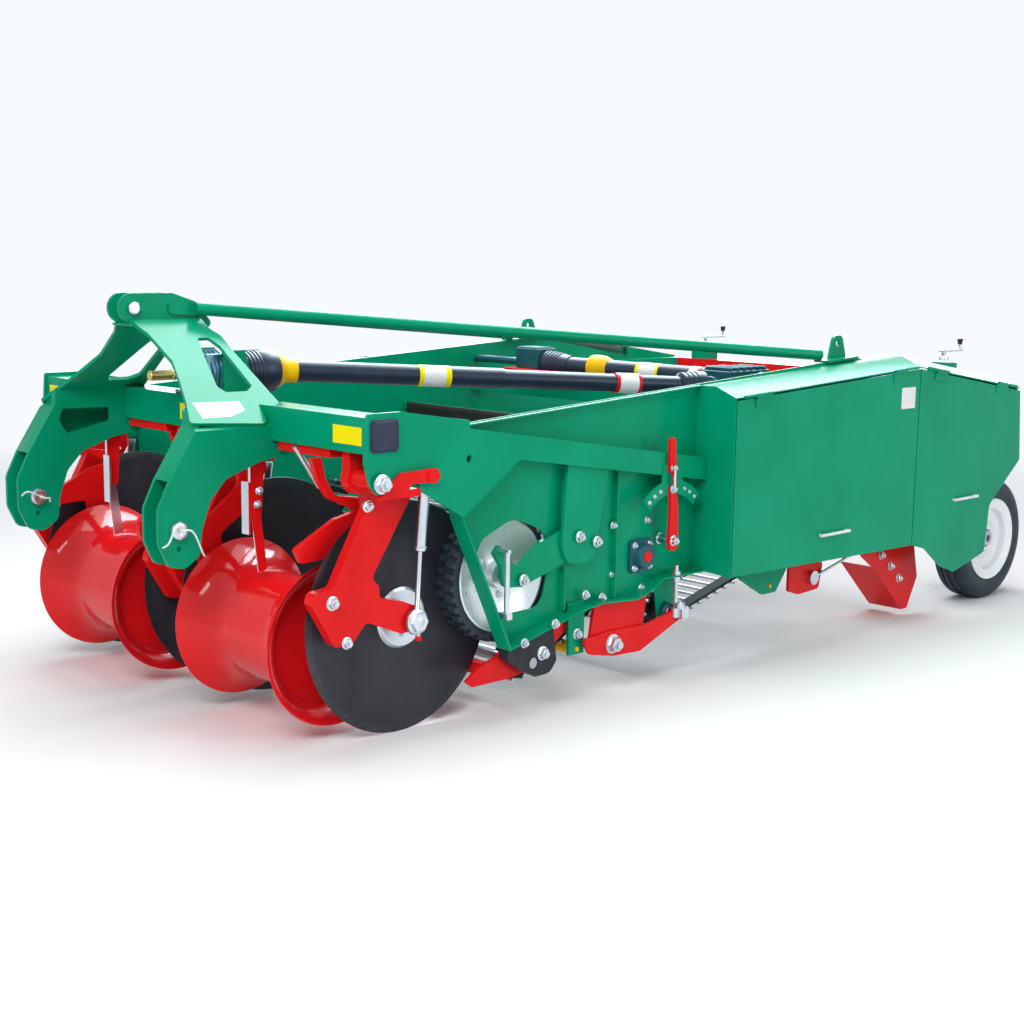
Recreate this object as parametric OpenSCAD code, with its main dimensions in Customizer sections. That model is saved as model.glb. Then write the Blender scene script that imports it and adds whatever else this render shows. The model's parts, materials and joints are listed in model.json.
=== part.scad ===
// Two-row potato harvester: hitch in front, ridge rollers, disc coulters, two rod webs,
// covered sides and two rear depth wheels. +X is the machine's left, +Y is its rear, Z = 0 is the ground.
// Inside the modules, Y is counted from the lower hitch pins; placed() then centres the machine.

/* [Overall] */
// Distance between the two ridge centres
row_pitch = 900; // [840:10:1100]
// Rear axle behind the lower hitch pins
axle_y = 3900; // [3300:10:4600]
// Height of the lower hitch pins
pin_z = 675; // [640:5:720]
// Top hitch pin above the lower pins
mast_h = 643; // [600:5:700]

/* [Hitch] */
// Distance between the middles of the two lower hooks
hook_span = 870; // [800:10:900]
// Radius of a lower hitch pin
pin_r = 14; // [11:0.5:18]
// Radius of the top hitch pin
top_pin_r = 12.5; // [9.5:0.5:16]
// Radial play of a hitch pin in its plates
pin_play = 0.3; // [0.1:0.1:1]
// Radius of the spare hole in a lower hook
spare_r = 9; // [7:0.5:12]
// Plate thickness of hooks, clevis and leg sheets
plate_t = 12; // [8:1:14]
// Inner gap of the top clevis
clevis_gap = 52; // [44:1:60]

/* [Front beam] */
// Front face of the beam behind the hitch pins
beam_y = 345; // [340:1:355]
// Depth of the beam, front to back
beam_d = 110; // [90:1:120]
// Underside of the beam above the ground
beam_z = 922; // [905:1:930]
// Height of the beam
beam_h = 108; // [90:1:130]

/* [Disc coulters] */
// Radius of a disc coulter
disc_r = 371; // [320:1:400]
// Thickness of a disc coulter
disc_t = 8; // [5:0.5:12]
// Disc from its ridge's centre
disc_off = 333; // [325:1:345]
// Disc axle behind the hitch pins
disc_y = 612; // [590:1:630]
// Radius of the stub axles of discs, rollers and press wheels
stub_r = 16; // [12:1:20]
// Air between a stub axle and its hub
stub_play = 0.3; // [0.2:0.1:1]

/* [Ridge rollers] */
// Width of a ridge roller
roller_w = 504; // [440:2:520]
// Radius at the flared ends
flare_r = 264; // [230:1:275]
// Radius of the middle drum
waist_r = 180; // [140:1:190]
// Width of the straight middle drum
drum_w = 200; // [150:2:240]
// Roller axle behind the hitch pins
roller_y = 423; // [410:1:440]
// Roller axle above the ground
roller_z = 303; // [285:1:320]

/* [Press wheels] */
// Radius of a press wheel over its tyre
press_r = 222; // [190:1:226]
// Width of a press wheel
press_w = 84; // [78:1:86]
// Press wheel axle behind the hitch pins
press_y = 962; // [955:1:968]
// Press wheel axle above the ground
press_z = 474; // [470:1:485]

/* [Walls and covers] */
// Disc to the inner face of the web wall
wall_gap = 117; // [114:1:150]
// Thickness of the web walls
wall_t = 6; // [4:1:8]
// Wall's inner face to the outer face of the side beam
beam_out = 60; // [56:1:70]
// Side beam's outer face to the outer face of the cover
cover_out = 118; // [110:1:160]
// Thickness of the cover sheets
sheet_t = 5; // [3:1:6]
// Gap round a closed guard door
door_gap = 6; // [5:1:10]

/* [Webs] */
// Radius of the web loops over their belts
web_r = 66; // [56:1:70]
// Thickness of the web belts
belt_t = 10; // [8:1:14]
// Radius of a web rod
rod_r = 6; // [5:0.5:7]
// Distance from one web rod to the next
rod_pitch = 50; // [42:1:60]

/* [Rear wheels] */
// Radius of a rear wheel over its tyre
wheel_r = 272; // [240:1:290]
// Width of a rear tyre
tyre_w = 150; // [120:1:160]
// Radius of the rim's flange
rim_r = 183; // [150:1:190]
// Middle of a rear wheel from the machine's centre
wheel_in = 138; // [130:1:145]
// Radius of a rear wheel's axle
axle_r = 22; // [16:1:24]
// Width of the square inner leg
leg_w = 78; // [70:1:84]
// Air between the leg and its sleeve
leg_play = 0.5; // [0.3:0.1:2]
// Wall of the leg sleeve
sleeve_t = 8; // [5:1:10]

/* [Hidden] */
$fn = 64;

green = [0.0, 0.45, 0.3];
red = [0.8, 0.1, 0.12];
steel = [0.75, 0.78, 0.8];
dark = [0.1, 0.11, 0.13];
yellow = [0.95, 0.85, 0.05];

// places across the machine
row_x = row_pitch / 2;
wall_x = row_x + disc_off + wall_gap;
side_x = wall_x + beam_out;
cover_x = side_x + cover_out;
hook_x = hook_span / 2;
beam_top = beam_z + beam_h;
beam_back = beam_y + beam_d;
top_z = pin_z + mast_h;
nose_r = 48;
clevis_x = clevis_gap / 2;
wheel_x = cover_x - wheel_in;
leg_x = wheel_x - 246;
disc_z = disc_r;

// places along the machine: the body behind the side beams grows with the axle's place
body_y = 1950;
function ry(y) = y < body_y ? y : body_y + (y - body_y) * (axle_y - body_y) / (3900 - body_y);
hook_nose = 66;
y_mid = (axle_y + wheel_r - hook_nose) / 2;

// height at y of the line from (y0, z0) to (y1, z1)
function on_line(y, y0, z0, y1, z1) = z0 + (z1 - z0) * (y - y0) / (y1 - y0);
wall_front = 760;
wall_front_z = 985;
wall_peak = ry(2900);
wall_peak_z = 1115;
function wall_top(y) = on_line(y, wall_front, wall_front_z, wall_peak, wall_peak_z);

// cover: front face, crease between the two doors, rear end, and its height at each
cover_front = 1908;
crease = ry(3119);
cover_rear = ry(3945);
cover_zf = 1050;
cover_zc = 1115;
cover_zr = 991;
edge_drop = 34;
hinge_x = cover_x + 11;

// web axes: front web from its idler to its drive shaft, rear web likewise
fw0 = [1055, 175];
fw1 = [1608, 465];
rw0 = [1760, 240];
rw1 = [ry(3350), 650];

// corners of an outline given as [y, z, radius], with each radius as a short arc
function unit(v) = v / norm(v);
function corner(p, q, s, r, n = 5) =
    let (u = unit([p[0] - q[0], p[1] - q[1]]), v = unit([s[0] - q[0], s[1] - q[1]]),
        half = acos(max(-1, min(1, u * v))) / 2, side = sign(u[0] * v[1] - u[1] * v[0]),
        c = [q[0], q[1]] + unit(u + v) * r / sin(half),
        t = [q[0], q[1]] + u * r / tan(half) - c, a0 = atan2(t[1], t[0]))
    [for (i = [0 : n]) let (a = a0 - side * (180 - 2 * half) * i / n) c + r * [cos(a), sin(a)]];
function rounded(t) = [for (i = [0 : len(t) - 1]) let (k = len(t))
    each (t[i][2] == 0 ? [[t[i][0], t[i][1]]] : corner(t[(i + k - 1) % k], t[i], t[(i + 1) % k], t[i][2]))];

// an outline in Y and Z, standing between two X planes
module plate(x0, x1, outline) {
    translate([x0, 0, 0]) rotate([90, 0, 90]) linear_extrude(x1 - x0) polygon(outline);
}
// a block from one corner to the other
module block(low, high) { translate(low) cube(high - low); }
// a round bar along X at (y, z)
module xbar(r, x0, x1, at) {
    translate([x0, at[0], at[1]]) rotate([0, 90, 0]) cylinder(r = r, h = x1 - x0);
}
// a round bar between two points
module bar(r, p, q) {
    d = q - p;
    translate(p) rotate([0, acos(d[2] / norm(d)), atan2(d[1], d[0])]) cylinder(r = r, h = norm(d));
}
// a strip of thickness t on the left of the edge from p to q in Y and Z
module strip(x0, x1, p, q, t) {
    n = unit([p[1] - q[1], q[0] - p[0]]) * t;
    plate(x0, x1, [p, q, q + n, p + n]);
}
// the same on both sides of the machine
module pair() {
    children();
    mirror([1, 0, 0]) children();
}
module placed() { translate([0, -y_mid, 0]) children(); }

// ---- hitch ----

leg_top = [50, 1265];
leg_foot = [hook_x + 45, 968];
leg_tilt = atan((leg_top[1] - leg_foot[1]) / (leg_foot[0] - leg_top[0]));
leg_len = norm(leg_foot - leg_top);

module on_leg() { translate([leg_top[0], 0, leg_top[1]]) rotate([0, leg_tilt, 0]) children(); }

module clevis_plate() {
    difference() {
        union() {
            plate(clevis_x, clevis_x + plate_t, rounded([[128, 1270, 0], [440, 1250, 15], [365, 1337, 40],
                [275, top_z + nose_r, 40], [128, top_z + nose_r, 0]]));
            xbar(nose_r, clevis_x, clevis_x + plate_t, [128, top_z]);
        }
        xbar(top_pin_r + pin_play, clevis_x - 1, clevis_x + plate_t + 1, [128, top_z]);
    }
}

module leg_sheet() {
    // along the slope, then Y, then corner radius
    sheet = [[-14, 113, 0], [60, 143, 60], [200, 156, 60], [300, 130, 40], [400, 98, 60], [497, 60, 10],
        [leg_len + 1, 325, 20], [440, 352, 20], [432, 425, 12], [150, 403, 40], [80, 403, 20], [40, 380, 10],
        [-14, 378, 0]];
    window = [[90, 308, 12], [170, 286, 20], [335, 246, 20], [365, 262, 15], [365, 340, 15],
        [341, 373, 12], [135, 370, 20], [88, 352, 12]];
    on_leg() linear_extrude(plate_t) difference() {
        polygon(rounded(sheet));
        polygon(rounded(window));
    }
}

module beam_block(more = 0) {
    block([-side_x + plate_t, beam_y - more, beam_z - more],
        [side_x - plate_t, beam_back + more, beam_top + more]);
}

module headstock() {
    color(green) difference() {
        union() {
            pair() {
                clevis_plate();
                leg_sheet();
            }
            block([-60, 113, 1262], [60, 378, 1270]);
            pair() plate(box_w, box_w + plate_t, [[430, beam_z + 50], [470, beam_z + 50], [537, 1045],
                [537, 1100],
                [515, 1178], [430, 1178]]);
        }
        beam_block();
    }
}

module hook_plate(x, slot) {
    outline = [[80, 1060, 0], [beam_y, 1060, 0], [beam_y, beam_z, 0], [beam_back - 5, beam_z, 0],
        [440, 882, 10], [300, 858, 60], [175, 815, 60], [118, 755, 60], [86, 665, 60], [78, 590, 30],
        [25, 554, 35], [-32, 566, 30], [-hook_nose, 638, 50], [-hook_nose, 740, 40], [-24, 824, 30],
        [80, 985, 10]];
    difference() {
        plate(x, x + plate_t, rounded(outline));
        if (slot) plate(x - 1, x + plate_t + 1, rounded([[90, 930, 20], [120, 880, 15], [200, 898, 20],
            [285, 915, 12], [285, 962, 12], [105, 966, 12]]));
        xbar(pin_r + pin_play, x - 1, x + plate_t + 1, [0, pin_z]);
        xbar(spare_r, x - 1, x + plate_t + 1, [4, pin_z - 57]);
    }
}

module lower_hooks() {
    inner = hook_x - 45;
    outer = hook_x + 33;
    color(green) pair() difference() {
        union() {
            hook_plate(inner, true);
            hook_plate(outer, false);
            plate(inner + plate_t, outer, [[-24, 824], [80, 985], [80, 1050], [92, 1050], [92, 981],
                [-13, 819]]);
            block([inner + plate_t, 292, 858], [outer, 348, 868]);
        }
        on_leg() translate([-50, -200, 0]) cube([leg_len + 200, 800, 300]);
    }
}

module hitch_pins() {
    color(steel) {
        for (x = [-hook_x, hook_x]) {
            xbar(pin_r, x - 62, x + 45, [0, pin_z]);
            xbar(24, x + 45, x + 68, [0, pin_z]);
            xbar(pin_r + 5, x - 57, x - 45, [0, pin_z]);
        }
        xbar(top_pin_r, -clevis_x - 34, clevis_x + plate_t, [128, top_z]);
        xbar(20, clevis_x + plate_t, clevis_x + 30, [128, top_z]);
        xbar(top_pin_r + 5, -clevis_x - 24, -clevis_x - plate_t, [128, top_z]);
    }
}

// ---- front beam and drive ----

module front_beam() { color(green) beam_block(); }

module beam_caps() {
    z0 = beam_z + 4;
    z1 = beam_top - 4;
    color(dark) pair() plate(side_x, side_x + 10, rounded([[beam_y + 2, z0, 12], [beam_back - 2, z0, 12],
        [beam_back - 2, z1, 12], [beam_y + 2, z1, 12]]));
}

pto_z = 1098;
box_front = 372;
box_rear = 475;
box_w = 84;
cone_front = 550;
joint_y = 690;
left_box = [650, ry(2290), 1010];

module headstock_gearbox() {
    color(dark) {
        block([-box_w, box_front, 1040], [box_w, box_rear, 1185]);
        block([-box_w, beam_y + 4, beam_top], [box_w, box_rear, 1040]);
        translate([0, box_front, pto_z]) rotate([90, 0, 0]) cylinder(r = 45, h = 22);
        translate([0, cone_front, pto_z]) rotate([90, 0, 0]) cylinder(r = 56, h = cone_front - box_rear);
    }
}

module pto_stub() {
    color(steel) translate([0, box_front - 22, pto_z]) rotate([90, 0, 0]) cylinder(r = 17.5, h = 143);
}

module front_drive_shaft() {
    start = [0, joint_y, pto_z];
    way = unit(left_box - start);
    color(dark) {
        translate([0, cone_front, pto_z]) rotate([-90, 0, 0]) cylinder(r1 = 78, r2 = 62,
            h = joint_y - cone_front);
        bar(56, start - 20 * way, start + 95 * way);
        bar(38, start, left_box - 90 * way);
        bar(58, left_box - 130 * way, left_box - 28 * way);
        translate(left_box) rotate([90, 0, 0]) cylinder(r = 30, h = 34);
    }
}

cross_y = ry(2500);
cross_z = 1027;
member_top = 960;

module cross_drive_shaft() {
    color(dark) {
        xbar(60, -440, -290, [cross_y, cross_z]);
        xbar(38, -300, 480, [cross_y, cross_z]);
        xbar(60, -160, -55, [cross_y, cross_z]);
        xbar(56, 470, 590, [cross_y, cross_z]);
    }
}

module angle_gearboxes() {
    color(dark) {
        block([590, left_box[1] + 20, member_top + 10], [735, cross_y + 70, 1085]);
        block([560, cross_y - 40, member_top], [760, cross_y + 40, member_top + 10]);
        xbar(17, 735, wall_x, [cross_y, cross_z]);
        translate([left_box[0], left_box[1] + 20, left_box[2]]) rotate([90, 0, 0]) cylinder(r = 40, h = 20);
        block([-580, cross_y - 60, 1005], [-440, cross_y + 60, 1100]);
        xbar(17, -wall_x, -580, [cross_y, cross_z]);
    }
    color(red) {
        block([-620, cross_y - 100, member_top], [-446, cross_y + 40, 1005]);
        block([-446, cross_y - 100, member_top], [-190, cross_y - 66, 1003]);
    }
}

brace_front = [clevis_x + plate_t + 22.5, 350, 1316];
brace_rear = [side_x - 84, ry(2700), wall_top(ry(2700)) + 27];

module top_braces() {
    lug_y = ry(2810);
    base0 = ry(2690);
    base1 = ry(2890);
    color(green) pair() difference() {
        union() {
            plate(clevis_x + plate_t, clevis_x + plate_t + 10, rounded([[258, 1298, 10], [388, 1290, 10],
                [372, 1330, 10], [258, 1338, 10]]));
            bar(21, brace_front, brace_rear);
            plate(wall_x - 45, wall_x + 28, [[base0, wall_top(base0)], [base1, wall_top(base1)],
                [base1, wall_top(base1) + 8], [base0, wall_top(base0) + 8]]);
            plate(wall_x - 30, wall_x - 18, rounded([[lug_y - 55, wall_top(lug_y) + 4, 0],
                [lug_y + 60, wall_top(lug_y) + 6, 0], [lug_y + 28, wall_top(lug_y) + 95, 26],
                [lug_y - 28, wall_top(lug_y) + 95, 26]]));
        }
        xbar(13, wall_x - 40, wall_x, [lug_y, wall_top(lug_y) + 64]);
        block([wall_x - 80, ry(2600), 1000], [wall_x + 20, base0 + 60, wall_top(base0) - 1]);
    }
}

// ---- sides ----

lobe = [388, 836];
post_top = [714, 696];
post_foot = [928, 240];
side_bottom = [961, 861];
beam_end_top = 792;
beam_end_low = 712;

module side_beams() {
    front = [[330, 900, 0], [340, 1043, 12], [467, 1043, 60], [684, 1009, 0], [742, 1002, 8],
        [742, 975, 0], [side_bottom[0], 940, 0], [side_bottom[0], side_bottom[1], 0],
        [post_top[0] + 4, post_top[1] + 4, 0], [545, 800, 10], [528, 838, 8], [432, 838, 8],
        [lobe[0] + 16, 803, 14], [lobe[0] - 14, 803, 14], [350, 832, 20]];
    color(green) pair() {
        difference() {
            plate(side_x - plate_t, side_x, rounded(front));
            xbar(pin_r - 2, side_x - plate_t - 1, side_x + 1, [741, 881]);
        }
        plate(wall_x + wall_t, side_x, [[742, 975], [cover_front, beam_end_top], [cover_front, beam_end_low],
            [side_bottom[0], side_bottom[1]], [742, 895]]);
        block([wall_x - 52, 622, 790], [side_x - plate_t, 664, 832]);
    }
}

wall_rear = ry(3560);
shaft_r = 20;
support_places = [[1285, 181], [ry(2370), 250]];

module web_walls() {
    // bottom edge from the front foot backwards
    foot = [post_foot, [1262, 319], [1371, 332], [1552, 320], [1632, 344], [1686, 374], [1904, 373]];
    outline = concat(foot, [[ry(3050), 365], [wall_rear, 520], [wall_rear, 1000], [wall_peak, wall_peak_z],
        [wall_front, wall_front_z], [700, 780], post_top]);
    window = [[920, 350, 30], [1120, 350, 60], [1150, 480, 80], [1140, 600, 80], [990, 665, 110],
        [850, 610, 50], [822, 558, 10]];
    color(green) pair() difference() {
        union() {
            difference() {
                plate(wall_x, wall_x + wall_t, outline);
                plate(wall_x - 1, wall_x + wall_t + 1, rounded(window));
            }
            plate(wall_x, side_x, concat([post_top], foot,
                [for (i = [len(foot) - 1 : -1 : 1]) foot[i] + [0, wall_t]],
                [post_foot + [wall_t + 3, wall_t], post_top + [wall_t + 1, 0]]));
            strip(wall_x, wall_x + 28, [cover_front - 8, wall_top(cover_front - 8) - 2],
                [wall_front + 2, wall_front_z - 2], 6);
            for (z = [[330, 472], [625, 815]]) strip(wall_x, wall_x + 28, [1215, z[0]], [1218, z[1]], 8);
            strip(wall_x, wall_x + 28, [1470, 335], [1475, 775], 8);
            plate(wall_x, wall_x + wall_t, rounded([[1690, 376, 0], [1725, 198, 30], [1795, 198, 30],
                [1825, 376, 0]]));
            plate(wall_x + wall_t, wall_x + 18, [[1240, 345], [1247, 163], [1320, 163], [1320, 345]]);
            plate(wall_x + wall_t, wall_x + 18, rounded([[ry(2160), 395, 0], [ry(2185), 300, 20],
                [ry(2325), 222, 20], [ry(2410), 222, 20], [ry(2475), 300, 20], [ry(2490), 395, 0]]));
        }
        for (at = [fw1, rw0, rw1]) xbar(shaft_r + 2, wall_x - 1, wall_x + wall_t + 1, at);
        for (at = support_places) xbar(8.5, wall_x, wall_x + 40, at);
        translate([side_x - 12, 1768, 360]) cylinder(r = 11, h = 30);
    }
}

// a sheet with its section in X and Z, running back from (y0, z0) to (y1, z1) and lapping the one before it
module slope(y0, z0, y1, z1, section, lap) {
    a = atan((z1 - z0) / (y1 - y0));
    intersection() {
        translate([0, y0, z0]) rotate([90 + a, 0, 0]) translate([0, 0, -(y1 - y0) - 60])
            linear_extrude(y1 - y0 + 120) polygon(section);
        block([0, y0 - lap, 0], [2 * cover_x, y1, 2000]);
    }
}

knuckle_r = 6;
hinge_pin_r = 3.2;

// hinge tubes along a door's top edge: the shell's stand at the ends and hold the pins
module on_edge(y0, z0, y1, z1) {
    translate([0, y0, z0 - edge_drop]) rotate([atan((z1 - z0) / (y1 - y0)), 0, 0]) children();
}
module shell_knuckles(run) {
    for (y = [40, run - 110]) {
        translate([hinge_x, y, 0]) rotate([-90, 0, 0]) cylinder(r = knuckle_r, h = 70);
        translate([cover_x - 4, y, -5]) cube([12, 70, 5]);
    }
    for (y = [60, run - 190]) translate([hinge_x, y, 0]) rotate([-90, 0, 0]) cylinder(r = hinge_pin_r,
        h = 130);
}

module guard_covers() {
    flat_in = wall_x + wall_t;
    bend = cover_x - 88;
    edge_in = cover_x - sheet_t - door_gap;
    section = [[flat_in, 0], [bend, 0], [cover_x, -edge_drop], [cover_x, -edge_drop - sheet_t],
        [bend, -sheet_t], [flat_in, -sheet_t]];
    color(green) pair() {
        slope(cover_front, cover_zf, crease, cover_zc, section, 0);
        slope(crease, cover_zc, cover_rear, cover_zr, section, 1);
        translate([0, cover_front + sheet_t, 0]) rotate([90, 0, 0]) linear_extrude(sheet_t)
            polygon([[flat_in, 380], [cover_x, 369], [cover_x, cover_zf - edge_drop], [bend, cover_zf],
                [flat_in, cover_zf]]);
        translate([0, cover_rear, 0]) rotate([90, 0, 0]) linear_extrude(sheet_t)
            polygon([[flat_in, 900], [edge_in, 880], [edge_in, cover_zr - edge_drop], [bend, cover_zr],
                [flat_in, cover_zr]]);
        on_edge(cover_front, cover_zf, crease, cover_zc) shell_knuckles(crease - cover_front);
        on_edge(crease, cover_zc, cover_rear, cover_zr) shell_knuckles(cover_rear - crease);
    }
}

// a door hanging from its hinge line; the outline is in Y and Z
module guard_door(y0, z0, y1, z1, outline, grip) {
    run = y1 - y0;
    color(green) {
        plate(cover_x - sheet_t, cover_x, outline);
        on_edge(y0, z0, y1, z1) for (y = [112, run - 202]) difference() {
            union() {
                translate([hinge_x, y, 0]) rotate([-90, 0, 0]) cylinder(r = knuckle_r, h = 90);
                translate([cover_x, y, -45]) cube([5, 90, 34]);
                translate([cover_x + 2, y, -15]) cube([8, 90, 12]);
            }
            translate([hinge_x, y - 1, 0]) rotate([-90, 0, 0]) cylinder(r = hinge_pin_r + stub_play, h = 92);
        }
    }
    color(steel) {
        translate([cover_x + 14, grip[0], grip[1]]) rotate([-90, 0, 0]) cylinder(r = 6, h = 190);
        for (y = [8, 182]) xbar(6, cover_x - 1, cover_x + 14, [grip[0] + y, grip[1]]);
    }
}

module front_door() {
    top0 = cover_zf - edge_drop - sheet_t - door_gap;
    top1 = cover_zc - edge_drop - sheet_t - door_gap;
    guard_door(cover_front, cover_zf, crease, cover_zc,
        [[cover_front + sheet_t + door_gap, 369], [crease - 3, 344], [crease - 3, top1],
        [cover_front + sheet_t + door_gap, top0]], [ry(2450), 462]);
}

module rear_door() {
    top0 = cover_zc - edge_drop - sheet_t - door_gap;
    top1 = cover_zr - edge_drop - sheet_t - door_gap;
    guard_door(crease, cover_zc, cover_rear, cover_zr, rounded([[crease + 3, 344, 0], [ry(3220), 318, 20],
        [ry(3345), 230, 20], [ry(3468), 187, 25], [ry(3716), 244, 25], [ry(3740), 450, 30],
        [ry(3884), 560, 30],
        [ry(3983), 632, 20], [cover_rear + 4, top1 - 4, 10], [crease + 3, top0, 0]]), [ry(3420), 505]);
}

// ---- webs and share ----

belt_places = [-wall_x + 34, -25, wall_x - 84];

module loop_body(p, q, r, w) {
    n = r * unit([p[1] - q[1], q[0] - p[0]]);
    xbar(r, 0, w, p);
    xbar(r, 0, w, q);
    plate(0, w, [p + n, p - n, q - n, q + n]);
}

// the point at distance s along the loop round p and q at radius r
function loop_at(p, q, r, s) =
    let (d = norm(q - p), a = atan2(q[1] - p[1], q[0] - p[0]), arc = PI * r, u = unit(q - p), n = [-u[1],
        u[0]],
        total = 2 * d + 2 * arc, k = s - total * floor(s / total))
    k < d ? p + n * r + u * k :
    k < d + arc ? let (b = a + 90 - (k - d) / r * 180 / PI) q + r * [cos(b), sin(b)] :
    k < 2 * d + arc ? q - n * r - u * (k - d - arc) :
    let (b = a - 90 - (k - 2 * d - arc) / r * 180 / PI) p + r * [cos(b), sin(b)];

module web(p, q) {
    half = wall_x - 22;
    line = web_r + rod_r - 2;
    count = floor((2 * norm(q - p) + 2 * PI * line) / rod_pitch);
    total = 2 * norm(q - p) + 2 * PI * line;
    for (x = belt_places) translate([x, 0, 0]) difference() {
        loop_body(p, q, web_r, 50);
        translate([-1, 0, 0]) loop_body(p, q, web_r - belt_t, 52);
    }
    for (i = [0 : count - 1]) xbar(rod_r, -half, half, loop_at(p, q, line, i * total / count));
}
module front_web() { color(steel) web(fw0, fw1); }
module rear_web() { color(steel) web(rw0, rw1); }

module web_rollers() {
    wheel = web_r - belt_t - 0.5;
    color(steel) for (at = [fw0, fw1, rw0, rw1]) {
        reach = wall_x + (at == rw0 ? 30 : 40);
        xbar(shaft_r, -reach, reach, at);
        for (x = belt_places) xbar(wheel, x + 5, x + 45, at);
    }
}

module web_guides() {
    color(dark) pair() difference() {
        plate(wall_x + 2, side_x - 16, rounded([[935, 241, 0], [930, 205, 20], [1000, 160, 40], [1060, 128, 30],
            [1130, 130, 40], [1162, 168, 25], [1142, 290, 0]]));
        xbar(shaft_r + 0.3, wall_x, side_x, fw0);
    }
}

module web_support_rollers() {
    color(yellow) pair() for (at = support_places) {
        xbar(24, wall_x - 70, wall_x - 14, at);
        xbar(8, wall_x - 14, wall_x + 30, at);
        xbar(13, wall_x + 18, wall_x + 28, at);
    }
}

module flange_bearings() {
    x = wall_x + wall_t;
    color(dark) pair() for (at = [fw1, rw1]) difference() {
        union() {
            plate(x, x + 14, rounded([for (c = [[-1, -1], [1, -1], [1, 1], [-1, 1]])
                [at[0] + 58 * c[0], at[1] + 58 * c[1], 14]]));
            xbar(42, x + 14, x + 42, at);
        }
        xbar(shaft_r + 0.3, x - 1, wall_x + 41, at);
    }
    color(dark) pair() difference() {
        xbar(34, x, x + 22, rw0);
        xbar(shaft_r + 0.3, x - 1, x + 23, rw0);
    }
}

bar_y = 932;
bar_z = 130;

module digging_share() {
    half = disc_off - 20;
    color(red) {
        block([-wall_x + 12, bar_y, bar_z], [wall_x - 12, bar_y + 36, bar_z + 40]);
        pair() difference() {
            plate(wall_x - 12, wall_x, [[790, 150], [820, 128], [985, 128], [1090, 143], [1250, 250], [1250, 345],
                [1190, 345], [1140, 290], [1080, 250], [960, 241], [930, 212], [850, 190]]);
            xbar(shaft_r + 0.3, wall_x - 13, wall_x + 1, fw0);
        }
    }
    color(steel) for (x = [-row_x, row_x]) {
        plate(x - half, x + half, [[786, 72], [bar_y + 4, 154], [bar_y + 4, 168], [bar_y - 2, 168],
            [786, 86]]);
        for (i = [-5 : 5]) bar(8, [x + i * 58, bar_y + 22, bar_z + 34], [x + i * 58, 1004, 262]);
    }
}

// ---- disc coulters ----

arm_in = disc_off + 29;
arm_out = disc_off + 65;

// X here is counted from the row's centre towards the disc
module disc_arm() {
    low = disc_z - 371;
    plate(arm_in, arm_out, rounded([[420, 808, 0], [428, 745, 20], [300, 516 + low, 15], [226, 508 + low, 15],
        [216, 478 + low, 15], [302, 336 + low, 20], [362, 328 + low, 15], [426, 394 + low, 20],
        [560, 338 + low, 20],
        [645, 335 + low, 30], [650, 405 + low, 30], [572, 438 + low, 15], [478, 462 + low, 10],
        [474, 500 + low, 10],
        [446, 528 + low, 20], [528, 653, 0], [601, 764, 15], [600, 808, 0]]));
    xbar(45, arm_in, arm_out, [400, 836]);
    plate(arm_in, arm_out, [[362, beam_z], [362, 836], [440, 836], [440, beam_z]]);
    xbar(stub_r, disc_off + 13, arm_in, [disc_y, disc_z]);
}

module disc_arms() {
    color(red) {
        pair() translate([row_x, 0, 0]) pair() disc_arm();
        pair() {
            xbar(30, row_x + arm_out, side_x - plate_t, [lobe[0] + 6, lobe[1]]);
            block([row_x + arm_out - 1, 432, 800], [side_x + 4, 520, 812]);
            block([row_x - arm_out - 35, 560, 790], [row_x - arm_out + 1, 664, 802]);
            plate(side_x + 4, side_x + 16, rounded([[363, 788, 2], [530, 788, 4], [530, 812, 4],
                [484, 812, 2],
                [497, 828, 3], [579, 824, 0], [579, 866, 0], [455, 863, 25], [382, 800, 10]]));
            xbar(23, side_x + 1, side_x + 22, [579, 845]);
        }
    }
}

module depth_struts() {
    x = arm_out + 15;
    color(steel) pair() translate([row_x, 0, 0]) pair() {
        xbar(14, arm_out, x + 26, [disc_y, disc_z]);
        xbar(40, x - 11, x + 11, [disc_y, disc_z]);
        xbar(30, x + 11, x + 26, [disc_y, disc_z]);
        bar(9, [x, disc_y, disc_z + 20], [x, 625, 610]);
        bar(20, [x, 625, 598], [x, 643, 788]);
    }
}

module coulter_disc() {
    edge = 25;
    half = disc_t / 2;
    translate([0, disc_y, disc_z]) rotate([0, 90, 0]) {
        color(dark) translate([0, 0, disc_off]) rotate_extrude($fn = 128)
            polygon([[0, -half], [disc_r - edge, -half], [disc_r, -0.8], [disc_r, 0.8],
                [disc_r - edge, half], [0, half]]);
        color(steel) {
            translate([0, 0, disc_off - half - 12]) cylinder(r = 50, h = 12);
            translate([0, 0, disc_off + half]) difference() {
                union() {
                    cylinder(r = 40, h = 19);
                    cylinder(r1 = 60, r2 = 88, h = 10);
                }
                translate([0, 0, 3]) cylinder(r = stub_r + stub_play, h = 30);
            }
        }
    }
}
module disc_at(side, inner) { translate([side * row_x, 0, 0]) mirror([side * inner > 0 ? 1 : 0, 0,
    0]) coulter_disc(); }

// ---- ridge rollers ----

bracket_in = roller_w / 2 + 23;
bracket_out = bracket_in + 20;

module roller_bracket(outline) {
    plate(bracket_in, bracket_out, rounded(outline));
    xbar(42, bracket_in, bracket_out, [roller_y, roller_z]);
    xbar(stub_r, roller_w / 2 - 36, bracket_in, [roller_y, roller_z]);
}

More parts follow.
